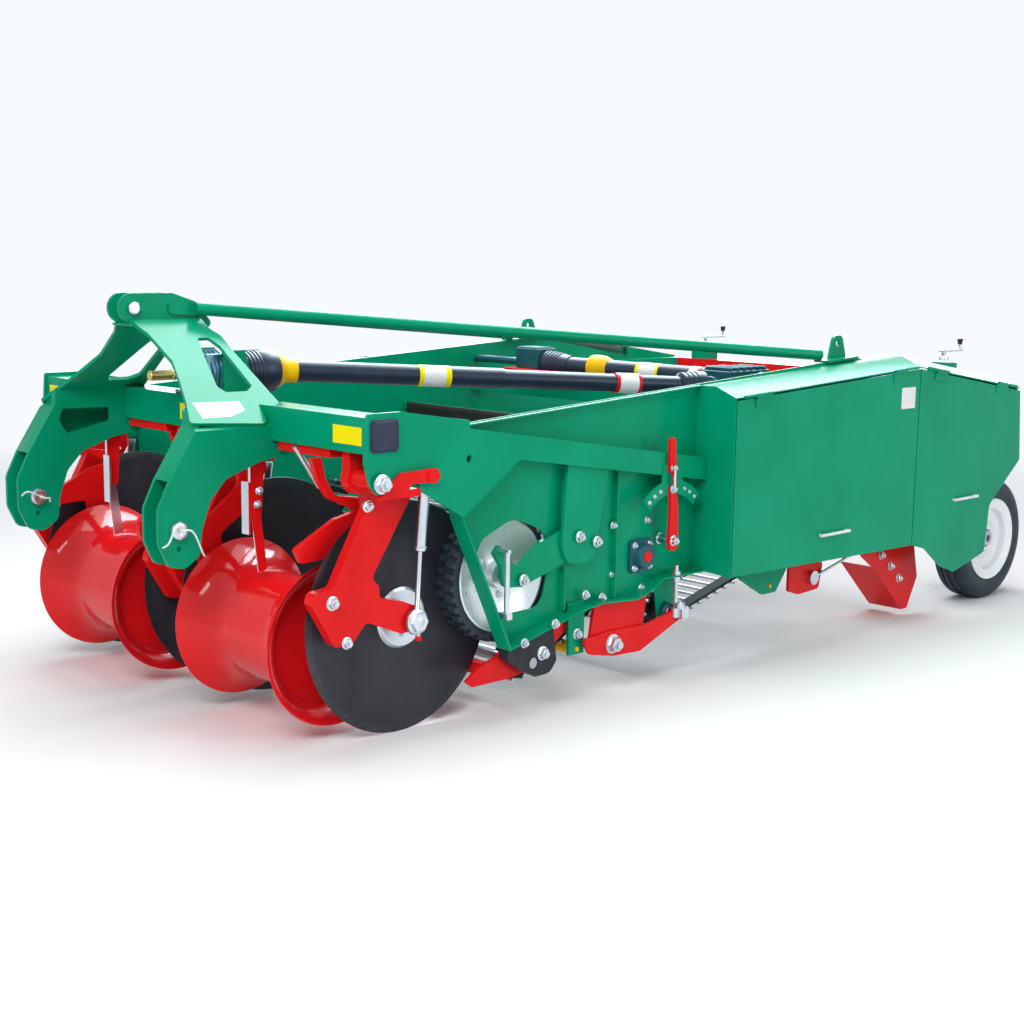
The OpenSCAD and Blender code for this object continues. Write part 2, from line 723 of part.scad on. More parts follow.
module roller_brackets() {
    inner = [[378, 894, 0], [448, 894, 0], [530, 700, 50], [350, 580, 30],
        [462, roller_z + 14, 0], [384, roller_z - 14, 0], [232, 585, 60], [440, 740, 40]];
    outer = [[300, 894, 0], [337, 894, 0], [352, 828, 40], [388, 775, 30], [505, 757, 10], [505, 705, 10],
        [468, 640, 30], [462, roller_z + 14, 0], [384, roller_z - 14, 0], [376, 585, 20], [258, 580, 10],
        [236, 625, 10], [386, 702, 30], [470, 720, 5], [431, 738, 10], [361, 769, 30], [322, 825, 30]];
    color(red) pair() translate([row_x, 0, 0]) {
        roller_bracket(outer);
        mirror([1, 0, 0]) roller_bracket(inner);
    }
    color(red) pair() {
        block([row_x + 50, beam_y + 10, 894], [row_x + bracket_out + 15, beam_back - 10, beam_z]);
        block([row_x - bracket_out - 15, beam_y + 10, 894], [hook_x - 55, beam_back - 10, beam_z]);
    }
}

module roller_scrapers() {
    color(red) pair() {
        plate(hook_x - 7, hook_x + 5, rounded([[291, 858, 0], [345, 858, 0], [332, 684, 8], [291, 684, 8]]));
        block([hook_x - 33, 283, 624], [hook_x + 5, 291, 790]);
        plate(hook_x + 1, hook_x + 5, [[292, 690], [328, 690], [352, 505], [318, 500]]);
    }
}

module ridge_roller() {
    reach = roller_w / 2 - drum_w / 2;
    rise = flare_r - waist_r;
    curve = (reach * reach + rise * rise) / (2 * rise);
    web_at = roller_w / 2 - 50;
    color(red) translate([0, roller_y, roller_z]) rotate([0, 90, 0]) rotate_extrude($fn = 128) difference() {
        translate([0, -roller_w / 2]) square([flare_r, roller_w]);
        for (s = [-1, 1]) {
            translate([waist_r + curve, s * drum_w / 2]) circle(r = curve, $fn = 128);
            difference() {
                translate([48, s > 0 ? web_at : -web_at - 60]) square([flare_r, 60]);
                translate([waist_r + curve, s * drum_w / 2]) circle(r = curve + 12, $fn = 128);
            }
            translate([-1, s > 0 ? web_at + 8 : -web_at - 68]) square([stub_r + stub_play + 1, 60]);
            translate([-1, s > 0 ? web_at + 44 : -web_at - 104]) square([60, 60]);
        }
        translate([waist_r, -drum_w / 2]) square([200, drum_w]);
    }
}

// ---- press wheels ----

press_x = wall_x - 15 - press_w;
arm_x = wall_x + wall_t + 6;

module press_arms() {
    color(green) pair() {
        plate(arm_x, arm_x + 18, rounded([[880, 562, 8], [910, 520, 10], [925, 445, 25], [1010, 437, 25],
            [1215, 495, 40],
            [1370, 518, 30], [1385, 585, 30], [1230, 612, 30], [1090, 575, 30], [985, 505, 20], [940, 540, 8],
            [905, 590, 8]]));
        plate(arm_x + 20, arm_x + 32, rounded([[1200, 823, 0], [1178, 560, 20], [1200, 484, 60],
            [1335, 484, 60],
            [1358, 600, 20], [1400, 791.8, 0]]));
        for (at = [[1250, 578], [1335, 552]]) {
            xbar(10, wall_x + wall_t, arm_x + 40, at);
            xbar(15, arm_x + 32, arm_x + 42, at);
        }
        xbar(stub_r, press_x + 44, arm_x + 18, [press_y, press_z]);
        xbar(15, arm_x + 18, arm_x + 28, [1003, 462]);
    }
    color(steel) pair() {
        xbar(8, arm_x + 10, side_x + 22, [898, 572]);
        bar(9, [side_x + 14, 896, 572], [side_x + 14, 896, 372]);
        block([side_x - 18, 888, 352], [side_x + 24, 912, 373]);
    }
}

module press_rim() {
    bore = stub_r + stub_play;
    seat = press_r - 38.5;
    color(steel) translate([press_x, press_y, press_z]) rotate([0, 90, 0]) rotate_extrude()
        polygon([[bore, 38], [44, 38], [44, 48], [seat - 18, 36], [seat - 18, 3], [seat, 3], [seat, press_w - 3],
            [seat - 18, press_w - 3], [seat - 18, 50], [44, 62], [44, press_w - 4], [bore, press_w - 4]]);
}
module press_tyre() {
    color(dark) translate([press_x, press_y, press_z]) rotate([0, 90, 0]) rotate_extrude()
        polygon([[press_r - 38, 6], [press_r - 12, 0], [press_r, 14], [press_r, press_w - 14],
            [press_r - 12, press_w], [press_r - 38, press_w - 6]]);
}

// ---- small work on the side walls ----

module shaker_arms() {
    x = wall_x + 24;
    color(red) pair() {
        plate(x, x + 12, [[1352, 329.5], [1371, 331.8], [1552, 319.8], [1625, 341.7], [1600, 190],
            [1500, 140],
            [1400, 140], [1330, 200]]);
        plate(x + 12, x + 24, rounded([[1284, 218, 15], [1318, 160, 30], [1440, 136, 60],
            [1580, 130, 40], [1794, 213, 12],
            [1793, 256, 12], [1620, 222, 40], [1420, 226, 40]]));
    }
    color(steel) pair() {
        xbar(18, x + 24, x + 36, [1434, 180]);
        translate([side_x - 12, 1768, 225]) cylinder(r = 8, h = 190);
        translate([side_x - 12, 1768, 380]) cylinder(r = 15, h = 14);
        translate([side_x - 12, 1768, 358]) cylinder(r = 15, h = 15);
        translate([side_x - 12, 1768, 225]) cylinder(r = 16, h = 34);
    }
}

module control_levers() {
    pivot = [1709, 515];
    x = side_x + 6;
    color(green) pair() plate(side_x, x, concat([for (a = [45 : 10 : 75]) pivot + 215 * [cos(a), sin(a)]],
        [[1755, 775], [1665, 788]], [for (a = [105 : 10 : 135]) pivot + 215 * [cos(a), sin(a)]],
        [for (a = [135 : -10 : 45]) pivot + 165 * [cos(a), sin(a)]]));
    color(red) pair() {
        plate(x, x + 12, rounded([[1684, 478, 22], [1736, 478, 22], [1730, 640, 40], [1712, 712, 12],
            [1684, 712, 12],
            [1690, 640, 40]]));
        plate(x, x + 12, rounded([[1680, 762, 10], [1704, 750, 10], [1712, 800, 30], [1706, 882, 12],
            [1678, 882, 12]]));
    }
    color(steel) pair() {
        xbar(16, wall_x + wall_t, x, pivot);
        xbar(14, x + 12, x + 20, pivot);
        bar(8, [x + 16, 1702, 690], [x + 16, 1696, 790]);
    }
}

// ---- inside and rear ----

curtain_y = ry(2050);

module cross_members() {
    color(green) {
        block([-wall_x, cross_y - 40, 880], [wall_x, cross_y + 40, member_top]);
        for (ends = [[fw0, fw1], [rw0, rw1]]) xbar(28, -wall_x, wall_x, (ends[0] + ends[1]) / 2);
        block([-wall_x, curtain_y + 4, 818], [wall_x, curtain_y + 34, 846]);
    }
}

module rubber_curtain() {
    color(dark) block([-wall_x + 30, curtain_y - 4, 560], [wall_x - 30, curtain_y + 4, 851]);
}

leg_y = axle_y + 30;
leg_top_z = 918;
sleeve_in = leg_w / 2 + leg_play;
sleeve_out = sleeve_in + sleeve_t;
tube_low = 905;
tube_mid = 985;
sleeve_top = 1045;

module rear_frame() {
    inner_top = on_line(wall_rear, crease, cover_zc, cover_rear, cover_zr) - sheet_t - 0.2;
    outer_top = on_line(cover_rear - 8, crease, cover_zc, cover_rear, cover_zr) - sheet_t - 0.2;
    color(red) difference() {
        union() {
            block([-wall_x, leg_y - 40, tube_low], [wall_x, leg_y + 40, tube_mid]);
            for (s = [-1, 1]) translate([s * leg_x, leg_y, 0])
                block([-sleeve_out, -sleeve_out, 480], [sleeve_out, sleeve_out, sleeve_top]);
        }
        for (s = [-1, 1]) translate([s * leg_x, leg_y, 0])
            block([-sleeve_in, -sleeve_in, 470], [sleeve_in, sleeve_in, sleeve_top + 10]);
    }
    color(green) pair() {
        block([wall_x - 60, ry(3400), tube_low], [wall_x, leg_y - 40, tube_mid]);
        plate(wall_x, wall_x + 12, [[wall_rear + 1, 920], [cover_rear - 8, 920], [cover_rear - 8, outer_top],
            [wall_rear + 1, inner_top]]);
    }
}

module height_cranks() {
    color(steel) for (s = [-1, 1]) translate([s * leg_x, leg_y, sleeve_top]) {
        cylinder(r = 52, h = 8);
        cylinder(r = 26, h = 30);
        cylinder(r = 13, h = 60);
        block([-13, -20, 46], [13, 156, 58]);
        translate([0, 140, 58]) cylinder(r = 9, h = 36);
        translate([0, 140, 80]) cylinder(r = 14, h = 26);
    }
}

module crop_guides() {
    x = side_x - 26;
    fold = [[ry(3060), 235], [ry(3290), 25]];
    color(red) pair() {
        plate(x, x + 6, rounded([[ry(2960), 480, 0], [ry(2960), 300, 20], [fold[0][0], fold[0][1], 10],
            [fold[1][0], fold[1][1], 5], [ry(3335), 25, 10], [ry(3405), 155, 15], [ry(3365), 310, 15],
            [ry(3120), 480, 0]]));
        strip(x - 154, x, fold[0], fold[1], 6);
        block([wall_x + wall_t, ry(2985), 410], [x, ry(3035), 450]);
        plate(wall_x + wall_t, wall_x + 18, rounded([[ry(2496), 420, 0], [ry(2496), 211, 10],
            [ry(2560), 190, 30],
            [ry(2700), 195, 20], [ry(2720), 285, 20], [ry(2690), 420, 0]]));
    }
    color(steel) pair() {
        xbar(28, wall_x + 18, wall_x + 40, [ry(2640), 250]);
        bar(7, [wall_x + 30, ry(2640), 250], [wall_x + 30, ry(2985), 330]);
        xbar(12, wall_x + 24, x, [ry(2980), 329]);
    }
}

// ---- rear wheels ----

module rear_leg() {
    color(steel) translate([leg_x, 0, 0]) {
        block([-leg_w / 2, leg_y - leg_w / 2, wheel_r - 82], [leg_w / 2, leg_y + leg_w / 2, leg_top_z]);
        block([-leg_w / 2, axle_y - 32, wheel_r - 70], [leg_w / 2, leg_y + leg_w / 2, wheel_r + 60]);
    }
    color(steel) {
        xbar(axle_r, leg_x, wheel_x + 45, [axle_y, wheel_r]);
        xbar(36, wheel_x + 41, wheel_x + 55, [axle_y, wheel_r]);
    }
}

module rear_rim() {
    bore = axle_r + stub_play;
    f = rim_r;
    t = tyre_w / 2;
    color("white") translate([wheel_x, axle_y, wheel_r]) rotate([0, 90, 0]) rotate_extrude()
        polygon([[bore, -35], [48, -35], [48, 8], [f - 43, 20], [f - 43, 9 - t], [f - 15, 3 - t],
            [f, 3 - t], [f, 9 - t],
            [f - 11, 13 - t], [f - 33, 25 - t], [f - 33, t - 25], [f - 11, t - 13], [f, t - 9],
            [f, t - 3], [f - 15, t - 3],
            [f - 43, t - 15], [f - 43, 32], [48, 22], [48, 35], [bore, 35]]);
}
module rear_tyre() {
    f = rim_r;
    t = tyre_w / 2;
    wall = f + (wheel_r - f) * 0.5;
    color(dark) translate([wheel_x, axle_y, wheel_r]) rotate([0, 90, 0]) rotate_extrude()
        polygon([[f - 32.5, 26 - t], [f - 10, 14 - t], [f + 1, 10 - t], [wall, -t],
            [wheel_r - 10, 7 - t], [wheel_r, 25 - t],
            [wheel_r, t - 25], [wheel_r - 10, t - 7], [wall, t], [f + 1, t - 10], [f - 10, t - 14],
            [f - 32.5, t - 26]]);
}

// ---- the machine ----

module left() { placed() children(); }
module right() { placed() mirror([1, 0, 0]) children(); }

placed() headstock();
placed() lower_hooks();
placed() hitch_pins();
placed() front_beam();
placed() beam_caps();
placed() headstock_gearbox();
placed() pto_stub();
placed() front_drive_shaft();
placed() cross_drive_shaft();
placed() angle_gearboxes();
placed() top_braces();
placed() side_beams();
placed() web_walls();
placed() guard_covers();
placed() digging_share();
placed() front_web();
placed() rear_web();
placed() web_rollers();
placed() web_guides();
placed() web_support_rollers();
placed() flange_bearings();
placed() disc_arms();
placed() depth_struts();
placed() roller_brackets();
placed() roller_scrapers();
placed() press_arms();
placed() shaker_arms();
placed() control_levers();
placed() cross_members();
placed() rubber_curtain();
placed() rear_frame();
placed() height_cranks();
placed() crop_guides();
placed() disc_at(1, -1);  // disc_outer_left
placed() disc_at(1, 1);  // disc_inner_left
placed() disc_at(-1, 1);  // disc_inner_right
placed() disc_at(-1, -1);  // disc_outer_right
placed() translate([row_x, 0, 0]) ridge_roller();  // ridge_roller_left
placed() translate([-row_x, 0, 0]) ridge_roller();  // ridge_roller_right
left() press_rim();  // press_rim_left
left() press_tyre();  // press_tyre_left
right() press_rim();  // press_rim_right
right() press_tyre();  // press_tyre_right
left() rear_leg();  // rear_leg_left
left() rear_rim();  // rear_rim_left
left() rear_tyre();  // rear_tyre_left
right() rear_leg();  // rear_leg_right
right() rear_rim();  // rear_rim_right
right() rear_tyre();  // rear_tyre_right
left() front_door();  // front_door_left
left() rear_door();  // rear_door_left
right() front_door();  // front_door_right
right() rear_door();  // rear_door_right
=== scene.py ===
import json
from math import atan2, cos, hypot, pi, radians, sin, tau

import bmesh
import bpy
from mathutils import Matrix, Vector


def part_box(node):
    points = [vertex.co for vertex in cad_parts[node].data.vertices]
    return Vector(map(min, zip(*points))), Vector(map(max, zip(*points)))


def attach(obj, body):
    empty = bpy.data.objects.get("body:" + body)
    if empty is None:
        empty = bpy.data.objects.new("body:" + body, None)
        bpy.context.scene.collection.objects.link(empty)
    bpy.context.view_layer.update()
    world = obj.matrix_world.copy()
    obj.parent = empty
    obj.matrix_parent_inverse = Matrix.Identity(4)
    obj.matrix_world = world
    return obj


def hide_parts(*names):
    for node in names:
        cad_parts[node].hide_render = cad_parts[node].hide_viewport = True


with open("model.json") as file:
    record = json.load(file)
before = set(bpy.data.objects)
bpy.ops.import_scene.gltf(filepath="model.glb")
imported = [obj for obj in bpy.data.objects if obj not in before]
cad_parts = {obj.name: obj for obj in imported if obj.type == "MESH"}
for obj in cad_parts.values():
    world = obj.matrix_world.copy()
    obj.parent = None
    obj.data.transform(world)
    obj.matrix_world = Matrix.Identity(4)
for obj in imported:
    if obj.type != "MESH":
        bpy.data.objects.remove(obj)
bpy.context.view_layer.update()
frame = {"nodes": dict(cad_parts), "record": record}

# ---- The studio ----
# A pale floor and a white surround, three large soft lamps and a camera at hip height off the machine's
# front left corner. The floor fades out far behind the machine, so that no horizon shows.

camera_data = bpy.data.cameras.new("camera")
camera_data.sensor_width = 36
camera_data.lens = 55.21
camera = bpy.data.objects.new("camera", camera_data)
bpy.context.scene.collection.objects.link(camera)
stand = Matrix.Translation((4.4828, -4.5702, 1.5016))
heading, dip, roll = radians(45.644), radians(90 - 9.283), radians(0.8236)
camera.matrix_world = (stand @ Matrix.Rotation(heading, 4, "Z") @ Matrix.Rotation(dip, 4, "X")
                       @ Matrix.Rotation(roll, 4, "Z"))
bpy.context.scene.camera = camera
bpy.context.scene.view_settings.view_transform = "Standard"

world = bpy.data.worlds.new("surround")
bpy.context.scene.world = world
world.use_nodes = True
world_nodes, world_links = world.node_tree.nodes, world.node_tree.links
path = world_nodes.new("ShaderNodeLightPath")
shiny = world_nodes.new("ShaderNodeMath")
shiny.operation = "MAXIMUM"
world_links.new(path.outputs["Is Glossy Ray"], shiny.inputs[0])
world_links.new(path.outputs["Is Transmission Ray"], shiny.inputs[1])
seen = world_nodes.new("ShaderNodeMath")
seen.operation = "MAXIMUM"
world_links.new(path.outputs["Is Camera Ray"], seen.inputs[0])
world_links.new(shiny.outputs[0], seen.inputs[1])
level = world_nodes.new("ShaderNodeMapRange")
level.inputs["To Min"].default_value = 0.36
level.inputs["To Max"].default_value = 1.0
world_links.new(seen.outputs[0], level.inputs["Value"])
world_nodes["Background"].inputs["Color"].default_value = (0.93, 0.965, 1.0, 1)
world_links.new(level.outputs[0], world_nodes["Background"].inputs["Strength"])


def soft_lamp(name, place, target, width, height, power, tint=(1, 1, 1), mirrored_only=False):
    lamp = bpy.data.lights.new(name, "AREA")
    lamp.shape = "RECTANGLE"
    lamp.size, lamp.size_y, lamp.energy, lamp.color = width, height, power, tint
    holder = bpy.data.objects.new(name, lamp)
    bpy.context.scene.collection.objects.link(holder)
    holder.location = place
    holder.rotation_euler = (Vector(target) - Vector(place)).to_track_quat("-Z", "Y").to_euler()
    holder.visible_camera = False
    holder.visible_diffuse = not mirrored_only


soft_lamp("key_lamp", (3.2, -5.6, 4.6), (0.3, -0.6, 0.5), 3.4, 2.2, 250)
soft_lamp("roof_lamp", (-0.6, 0.4, 5.2), (0.0, 0.0, 0.8), 5.0, 5.0, 300)
soft_lamp("side_lamp", (6.4, 1.6, 2.6), (0.8, 0.6, 0.5), 3.2, 2.4, 90)
soft_lamp("sky_panel", (-2.4, 3.4, 6.4), (0.0, -0.4, 0.9), 7.0, 6.0, 1900, (0.66, 0.90, 1.0), True)
soft_lamp("horizon_panel", (-6.2, 6.4, 1.9), (0.0, 0.0, 1.0), 12.0, 3.4, 700, (0.80, 0.95, 1.0), True)

floor_mesh = bpy.data.meshes.new("floor")
floor_shape = bmesh.new()
bmesh.ops.create_grid(floor_shape, x_segments=1, y_segments=1, size=16)
floor_shape.to_mesh(floor_mesh)
floor = bpy.data.objects.new("floor", floor_mesh)
bpy.context.scene.collection.objects.link(floor)
floor_paint = bpy.data.materials.new("pale_floor")
floor_paint.use_nodes = True
nodes, links = floor_paint.node_tree.nodes, floor_paint.node_tree.links
nodes["Principled BSDF"].inputs["Base Color"].default_value = (0.86, 0.87, 0.88, 1)
nodes["Principled BSDF"].inputs["Roughness"].default_value = 0.9
nodes["Principled BSDF"].inputs["Specular IOR Level"].default_value = 0.0
where = nodes.new("ShaderNodeTexCoord")
span = nodes.new("ShaderNodeVectorMath")
span.operation = "LENGTH"
links.new(where.outputs["Object"], span.inputs[0])
fade = nodes.new("ShaderNodeMapRange")
fade.inputs["From Min"].default_value = 3.0
fade.inputs["From Max"].default_value = 7.0
links.new(span.outputs["Value"], fade.inputs["Value"])
air = nodes.new("ShaderNodeBsdfTransparent")
blend = nodes.new("ShaderNodeMixShader")
links.new(fade.outputs[0], blend.inputs[0])
links.new(nodes["Principled BSDF"].outputs[0], blend.inputs[1])
links.new(air.outputs[0], blend.inputs[2])
links.new(blend.outputs[0], nodes["Material Output"].inputs["Surface"])
floor_mesh.materials.append(floor_paint)

# ---- Green body: headstock, hooks, beams, braces, walls, covers, arms and doors ----
# Cut, folded and welded steel plate, sprayed with a thick green gloss. The plate edges are ground to a
# small round before painting, so every edge holds a thin line of light. The door handles are white rod.

PIN_Y = next(m["pos_m"][1] for m in frame["record"]["mounts"] if m["name"] == "lower_link_left")
SIDES = (("left", 1), ("right", -1))
RIDGE_X = 0.450


def spot(x, y, z):
    """A place by its distance behind the lower hitch pins."""
    return Vector((x, PIN_Y + y, z))


def finish(name, light, dark, rough, grain=4.0, metal=0.0, coat=0.0, bump=0.0, bump_size=400.0, shine=0.13):
    """A surface whose colour drifts between two close tones and whose gloss drifts with it."""
    material = bpy.data.materials.new(name)
    material.use_nodes = True
    nodes, links = material.node_tree.nodes, material.node_tree.links
    shader = nodes["Principled BSDF"]
    shader.inputs["Metallic"].default_value = metal
    shader.inputs["Specular IOR Level"].default_value = shine
    shader.inputs["Coat Weight"].default_value = coat
    shader.inputs["Coat Roughness"].default_value = 0.06
    where = nodes.new("ShaderNodeTexCoord")
    drift = nodes.new("ShaderNodeTexNoise")
    drift.inputs["Scale"].default_value = grain
    drift.inputs["Detail"].default_value = 2
    links.new(where.outputs["Object"], drift.inputs["Vector"])
    tones = nodes.new("ShaderNodeValToRGB")
    tones.color_ramp.elements[0].position, tones.color_ramp.elements[1].position = 0.3, 0.7
    tones.color_ramp.elements[0].color = (*dark, 1)
    tones.color_ramp.elements[1].color = (*light, 1)
    links.new(drift.outputs["Fac"], tones.inputs["Fac"])
    links.new(tones.outputs["Color"], shader.inputs["Base Color"])
    gloss = nodes.new("ShaderNodeMapRange")
    gloss.inputs["To Min"].default_value, gloss.inputs["To Max"].default_value = rough
    fine = nodes.new("ShaderNodeTexNoise")
    fine.inputs["Scale"].default_value = grain * 9
    links.new(where.outputs["Object"], fine.inputs["Vector"])
    links.new(fine.outputs["Fac"], gloss.inputs["Value"])
    links.new(gloss.outputs[0], shader.inputs["Roughness"])
    if bump:
        skin = nodes.new("ShaderNodeTexNoise")
        skin.inputs["Scale"].default_value = bump_size
        skin.inputs["Detail"].default_value = 2
        relief = nodes.new("ShaderNodeBump")
        relief.inputs["Strength"].default_value = bump
        relief.inputs["Distance"].default_value = 0.001
        links.new(where.outputs["Object"], skin.inputs["Vector"])
        links.new(skin.outputs["Fac"], relief.inputs["Height"])
        links.new(relief.outputs["Normal"], shader.inputs["Normal"])
    return material


def add_piece(name, shape, material, body, stands_for=(), edge=0.0, sharp=35):
    """The finished bmesh as a piece on a body; an edge width rounds every corner sharper than the angle."""
    bmesh.ops.recalc_face_normals(shape, faces=shape.faces)
    mesh = bpy.data.meshes.new(name)
    shape.to_mesh(mesh)
    shape.free()
    piece = bpy.data.objects.new(name, mesh)
    bpy.context.scene.collection.objects.link(piece)
    mesh.materials.append(material)
    mesh.shade_smooth()
    if edge:
        bevel = piece.modifiers.new("edges", "BEVEL")
        bevel.width, bevel.segments, bevel.limit_method = edge, 2, "ANGLE"
        bevel.angle_limit = radians(sharp)
        piece.modifiers.new("shading", "WEIGHTED_NORMAL").keep_sharp = True
    mesh.set_sharp_from_angle(angle=radians(sharp))
    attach(piece, body)
    if stands_for:
        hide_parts(*stands_for)
    return piece


def cut_plate(node, body, material, edge=0.002, paint_line=None, joined=False):
    """A CAD node with its edges rounded; a paint line divides faces, joined sheets keep their triangles."""
    shape = bmesh.new()
    shape.from_mesh(frame["nodes"][node].data)
    bmesh.ops.remove_doubles(shape, verts=shape.verts, dist=0.00002)
    if not joined:
        bmesh.ops.dissolve_limit(shape, angle_limit=radians(0.6), verts=shape.verts, edges=shape.edges)
    if paint_line:
        bmesh.ops.bisect_plane(shape, geom=shape.verts[:] + shape.edges[:] + shape.faces[:],
                               plane_co=(0, 0, paint_line), plane_no=(0, 0, 1))
    return add_piece(node + "_finished", shape, material, body, [node], edge)


def repaint(piece, material, chosen):
    """Faces whose middle passes the test get another paint."""
    piece.data.materials.append(material)
    last = len(piece.data.materials) - 1
    for face in piece.data.polygons:
        if chosen(face.center):
            face.material_index = last


green = finish("green_gloss", (0.0006, 0.318, 0.168), (0.0004, 0.268, 0.132), (0.16, 0.26), 3, bump=0.03,
               shine=0.09)
red = finish("red_gloss", (0.80, 0.010, 0.012), (0.70, 0.008, 0.010), (0.16, 0.26), 5, bump=0.03)
white = finish("white_gloss", (0.82, 0.84, 0.86), (0.74, 0.76, 0.79), (0.22, 0.34), 6, bump=0.03)
zinc = finish("bright_zinc", (0.66, 0.72, 0.77), (0.54, 0.60, 0.66), (0.24, 0.36), 9, metal=1.0)
rod_steel = finish("drawn_steel", (0.50, 0.52, 0.58), (0.38, 0.40, 0.46), (0.26, 0.40), 7, metal=1.0)

for node in ("headstock", "lower_hooks", "front_beam", "top_braces", "side_beams", "web_walls",
             "guard_covers", "cross_members", "press_arms"):
    plate = cut_plate(node, "frame", green, joined=node == "guard_covers")
    if node == "press_arms":
        repaint(plate, zinc, lambda c: abs(c.x) > 0.952 and c.y < PIN_Y + 0.92)
for side, way in SIDES:
    cover_face = abs(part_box(f"front_door_{side}")[way > 0].x) - 0.02
    for end in ("front", "rear"):
        door = cut_plate(f"{end}_door_{side}", f"{end}_door_{side}", green, 0.0015)
        repaint(door, white, lambda c: abs(c.x) > cover_face + 0.003 and c.z < 0.6)

# ---- Red work: coulter arms, roller brackets, scrapers, share, shakers, crop guides and rear frame ----
# The same plate and tube in red gloss. The share's blades and lifting bars, the scraper strips and the crop
# guides' bushings are bare or plated steel, bolted on.

for node in ("disc_arms", "roller_brackets", "roller_scrapers", "shaker_arms", "crop_guides",
             "digging_share", "rear_frame"):
    plate = cut_plate(node, "frame", red, paint_line=0.9865 if node == "rear_frame" else None)
    if node == "rear_frame":
        repaint(plate, green,
                lambda c: c.z > 0.986 or (abs(c.x) > 0.838 and c.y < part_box("rear_leg_left")[0].y - 0.04))
    elif node == "digging_share":
        repaint(plate, rod_steel, lambda c: abs(c.x) < 0.87 and (c.y < PIN_Y + 0.930 or c.z > 0.1705))
    elif node == "roller_scrapers":
        repaint(plate, zinc, lambda c: c.z < 0.683 or c.y < PIN_Y + 0.2912)
    elif node == "shaker_arms":
        repaint(plate, zinc,
                lambda c: abs(c.x) > 0.9475 and (abs(c.y - PIN_Y - 1.768) < 0.017 or abs(c.x) > 0.9481))
    elif node == "crop_guides":
        repaint(plate, zinc, lambda c: abs(c.x) > 0.9185 and c.y < PIN_Y + 2.958 and c.z < 0.34)

# ---- Bolts and nuts on the plates ----
# Zinc plated hexagon screws with flat washers hold the arms, bearings, guides and brackets together; the
# big ones are the pivots of the coulter arms and the shaker.


def lathe(shape, start, way, profile, sides=32, ring=False):
    """A turned form: (distance along the way, radius) pairs spun about it; a ring closes on itself."""
    start, way = Vector(start), Vector(way).normalized()
    side = way.cross((0, 0, 1) if abs(way.z) < 0.9 else (1, 0, 0)).normalized()
    turned = bmesh.new()
    line = [turned.verts.new(start + way * along + side * radius) for along, radius in profile]
    for pair in zip(line, line[1:] + line[:1] if ring else line[1:]):
        turned.edges.new(pair)
    bmesh.ops.spin(turned, geom=turned.verts[:] + turned.edges[:], cent=start, axis=way, angle=tau,
                   steps=sides, use_merge=True)
    bmesh.ops.remove_doubles(turned, verts=turned.verts, dist=0.000002)
    bmesh.ops.holes_fill(turned, edges=[edge for edge in turned.edges if edge.is_boundary], sides=0)
    blank = bpy.data.meshes.new("turned")
    turned.to_mesh(blank)
    turned.free()
    shape.from_mesh(blank)
    bpy.data.meshes.remove(blank)


def bolt(shape, place, way=(1, 0, 0), across=0.024):
    """A hexagon head on a flat washer, with the thread's end showing."""
    corner = across / 1.732
    lathe(shape, place, way, [(-0.001, across * 0.75), (0.0025, across * 0.75), (0.003, across * 0.72)], 20)
    lathe(shape, place, way, [(0.002, corner), (across * 0.55, corner), (across * 0.62, corner * 0.82)], 6)
    lathe(shape, place, way, [(0.002, across * 0.3), (across * 0.85, across * 0.3),
                              (across * 0.9, across * 0.24)], 12)


def mirrored(x, y, z):
    """The same place on both sides of the machine."""
    return spot(x, y, z), spot(-x, y, z)


screws = bmesh.new()
for x, y, z, across in (
        (0.972, 0.383, 0.836, 0.040), (0.848, 0.429, 0.752, 0.026), (0.848, 0.294, 0.472, 0.030),
        (0.848, 0.348, 0.342, 0.026), (0.914, 1.460, 0.589, 0.020),
        (0.906, 1.648, 0.587, 0.020), (0.906, 1.470, 0.414, 0.020), (0.930, 1.309, 0.368, 0.022),
        (0.930, 1.392, 0.347, 0.022), (0.906, 1.624, 0.345, 0.020), (0.918, 1.285, 0.233, 0.026),
        (0.954, 1.250, 0.578, 0.026), (0.954, 1.335, 0.552, 0.026), (0.948, 1.434, 0.180, 0.046),
        (0.944, 1.092, 0.204, 0.032), (0.960, 1.133, 0.300, 0.022), (0.960, 0.990, 0.258, 0.022),
        (0.940, 1.003, 0.462, 0.026), (0.912, 1.709, 0.515, 0.028), (0.940, 3.113, 0.284, 0.024),
        (0.940, 3.187, 0.228, 0.024), (0.940, 3.254, 0.167, 0.024)):
    for place in mirrored(x, y, z):
        bolt(screws, place, (place.x, 0, 0), across)
for y, z in ((0.322, 0.760), (0.315, 0.717)):
    for place in mirrored(0.440, y, z):
        bolt(screws, place, (place.x, 0, 0), 0.018)
add_piece("plate_screws", screws, zinc, "frame")

# ---- Hitch pins and their spring clips ----
# Zinc plated pins with a broad turned head outside each hook. A bent spring wire hangs on each lower pin
# and keeps it from working out.


def smooth_path(points, steps=8):
    """Points along a smooth curve through the given ones."""
    p = [Vector(q) for q in points]
    p = [p[0] * 2 - p[1]] + p + [p[-1] * 2 - p[-2]]
    out = []
    for a, b, c, d in zip(p, p[1:], p[2:], p[3:]):
        for k in range(steps):
            t = k / steps
            square, cube = 2 * a - 5 * b + 4 * c - d, 3 * b - a - 3 * c + d
            out.append(0.5 * (2 * b + (c - a) * t + square * t ** 2 + cube * t ** 3))
    return out + [p[-2]]


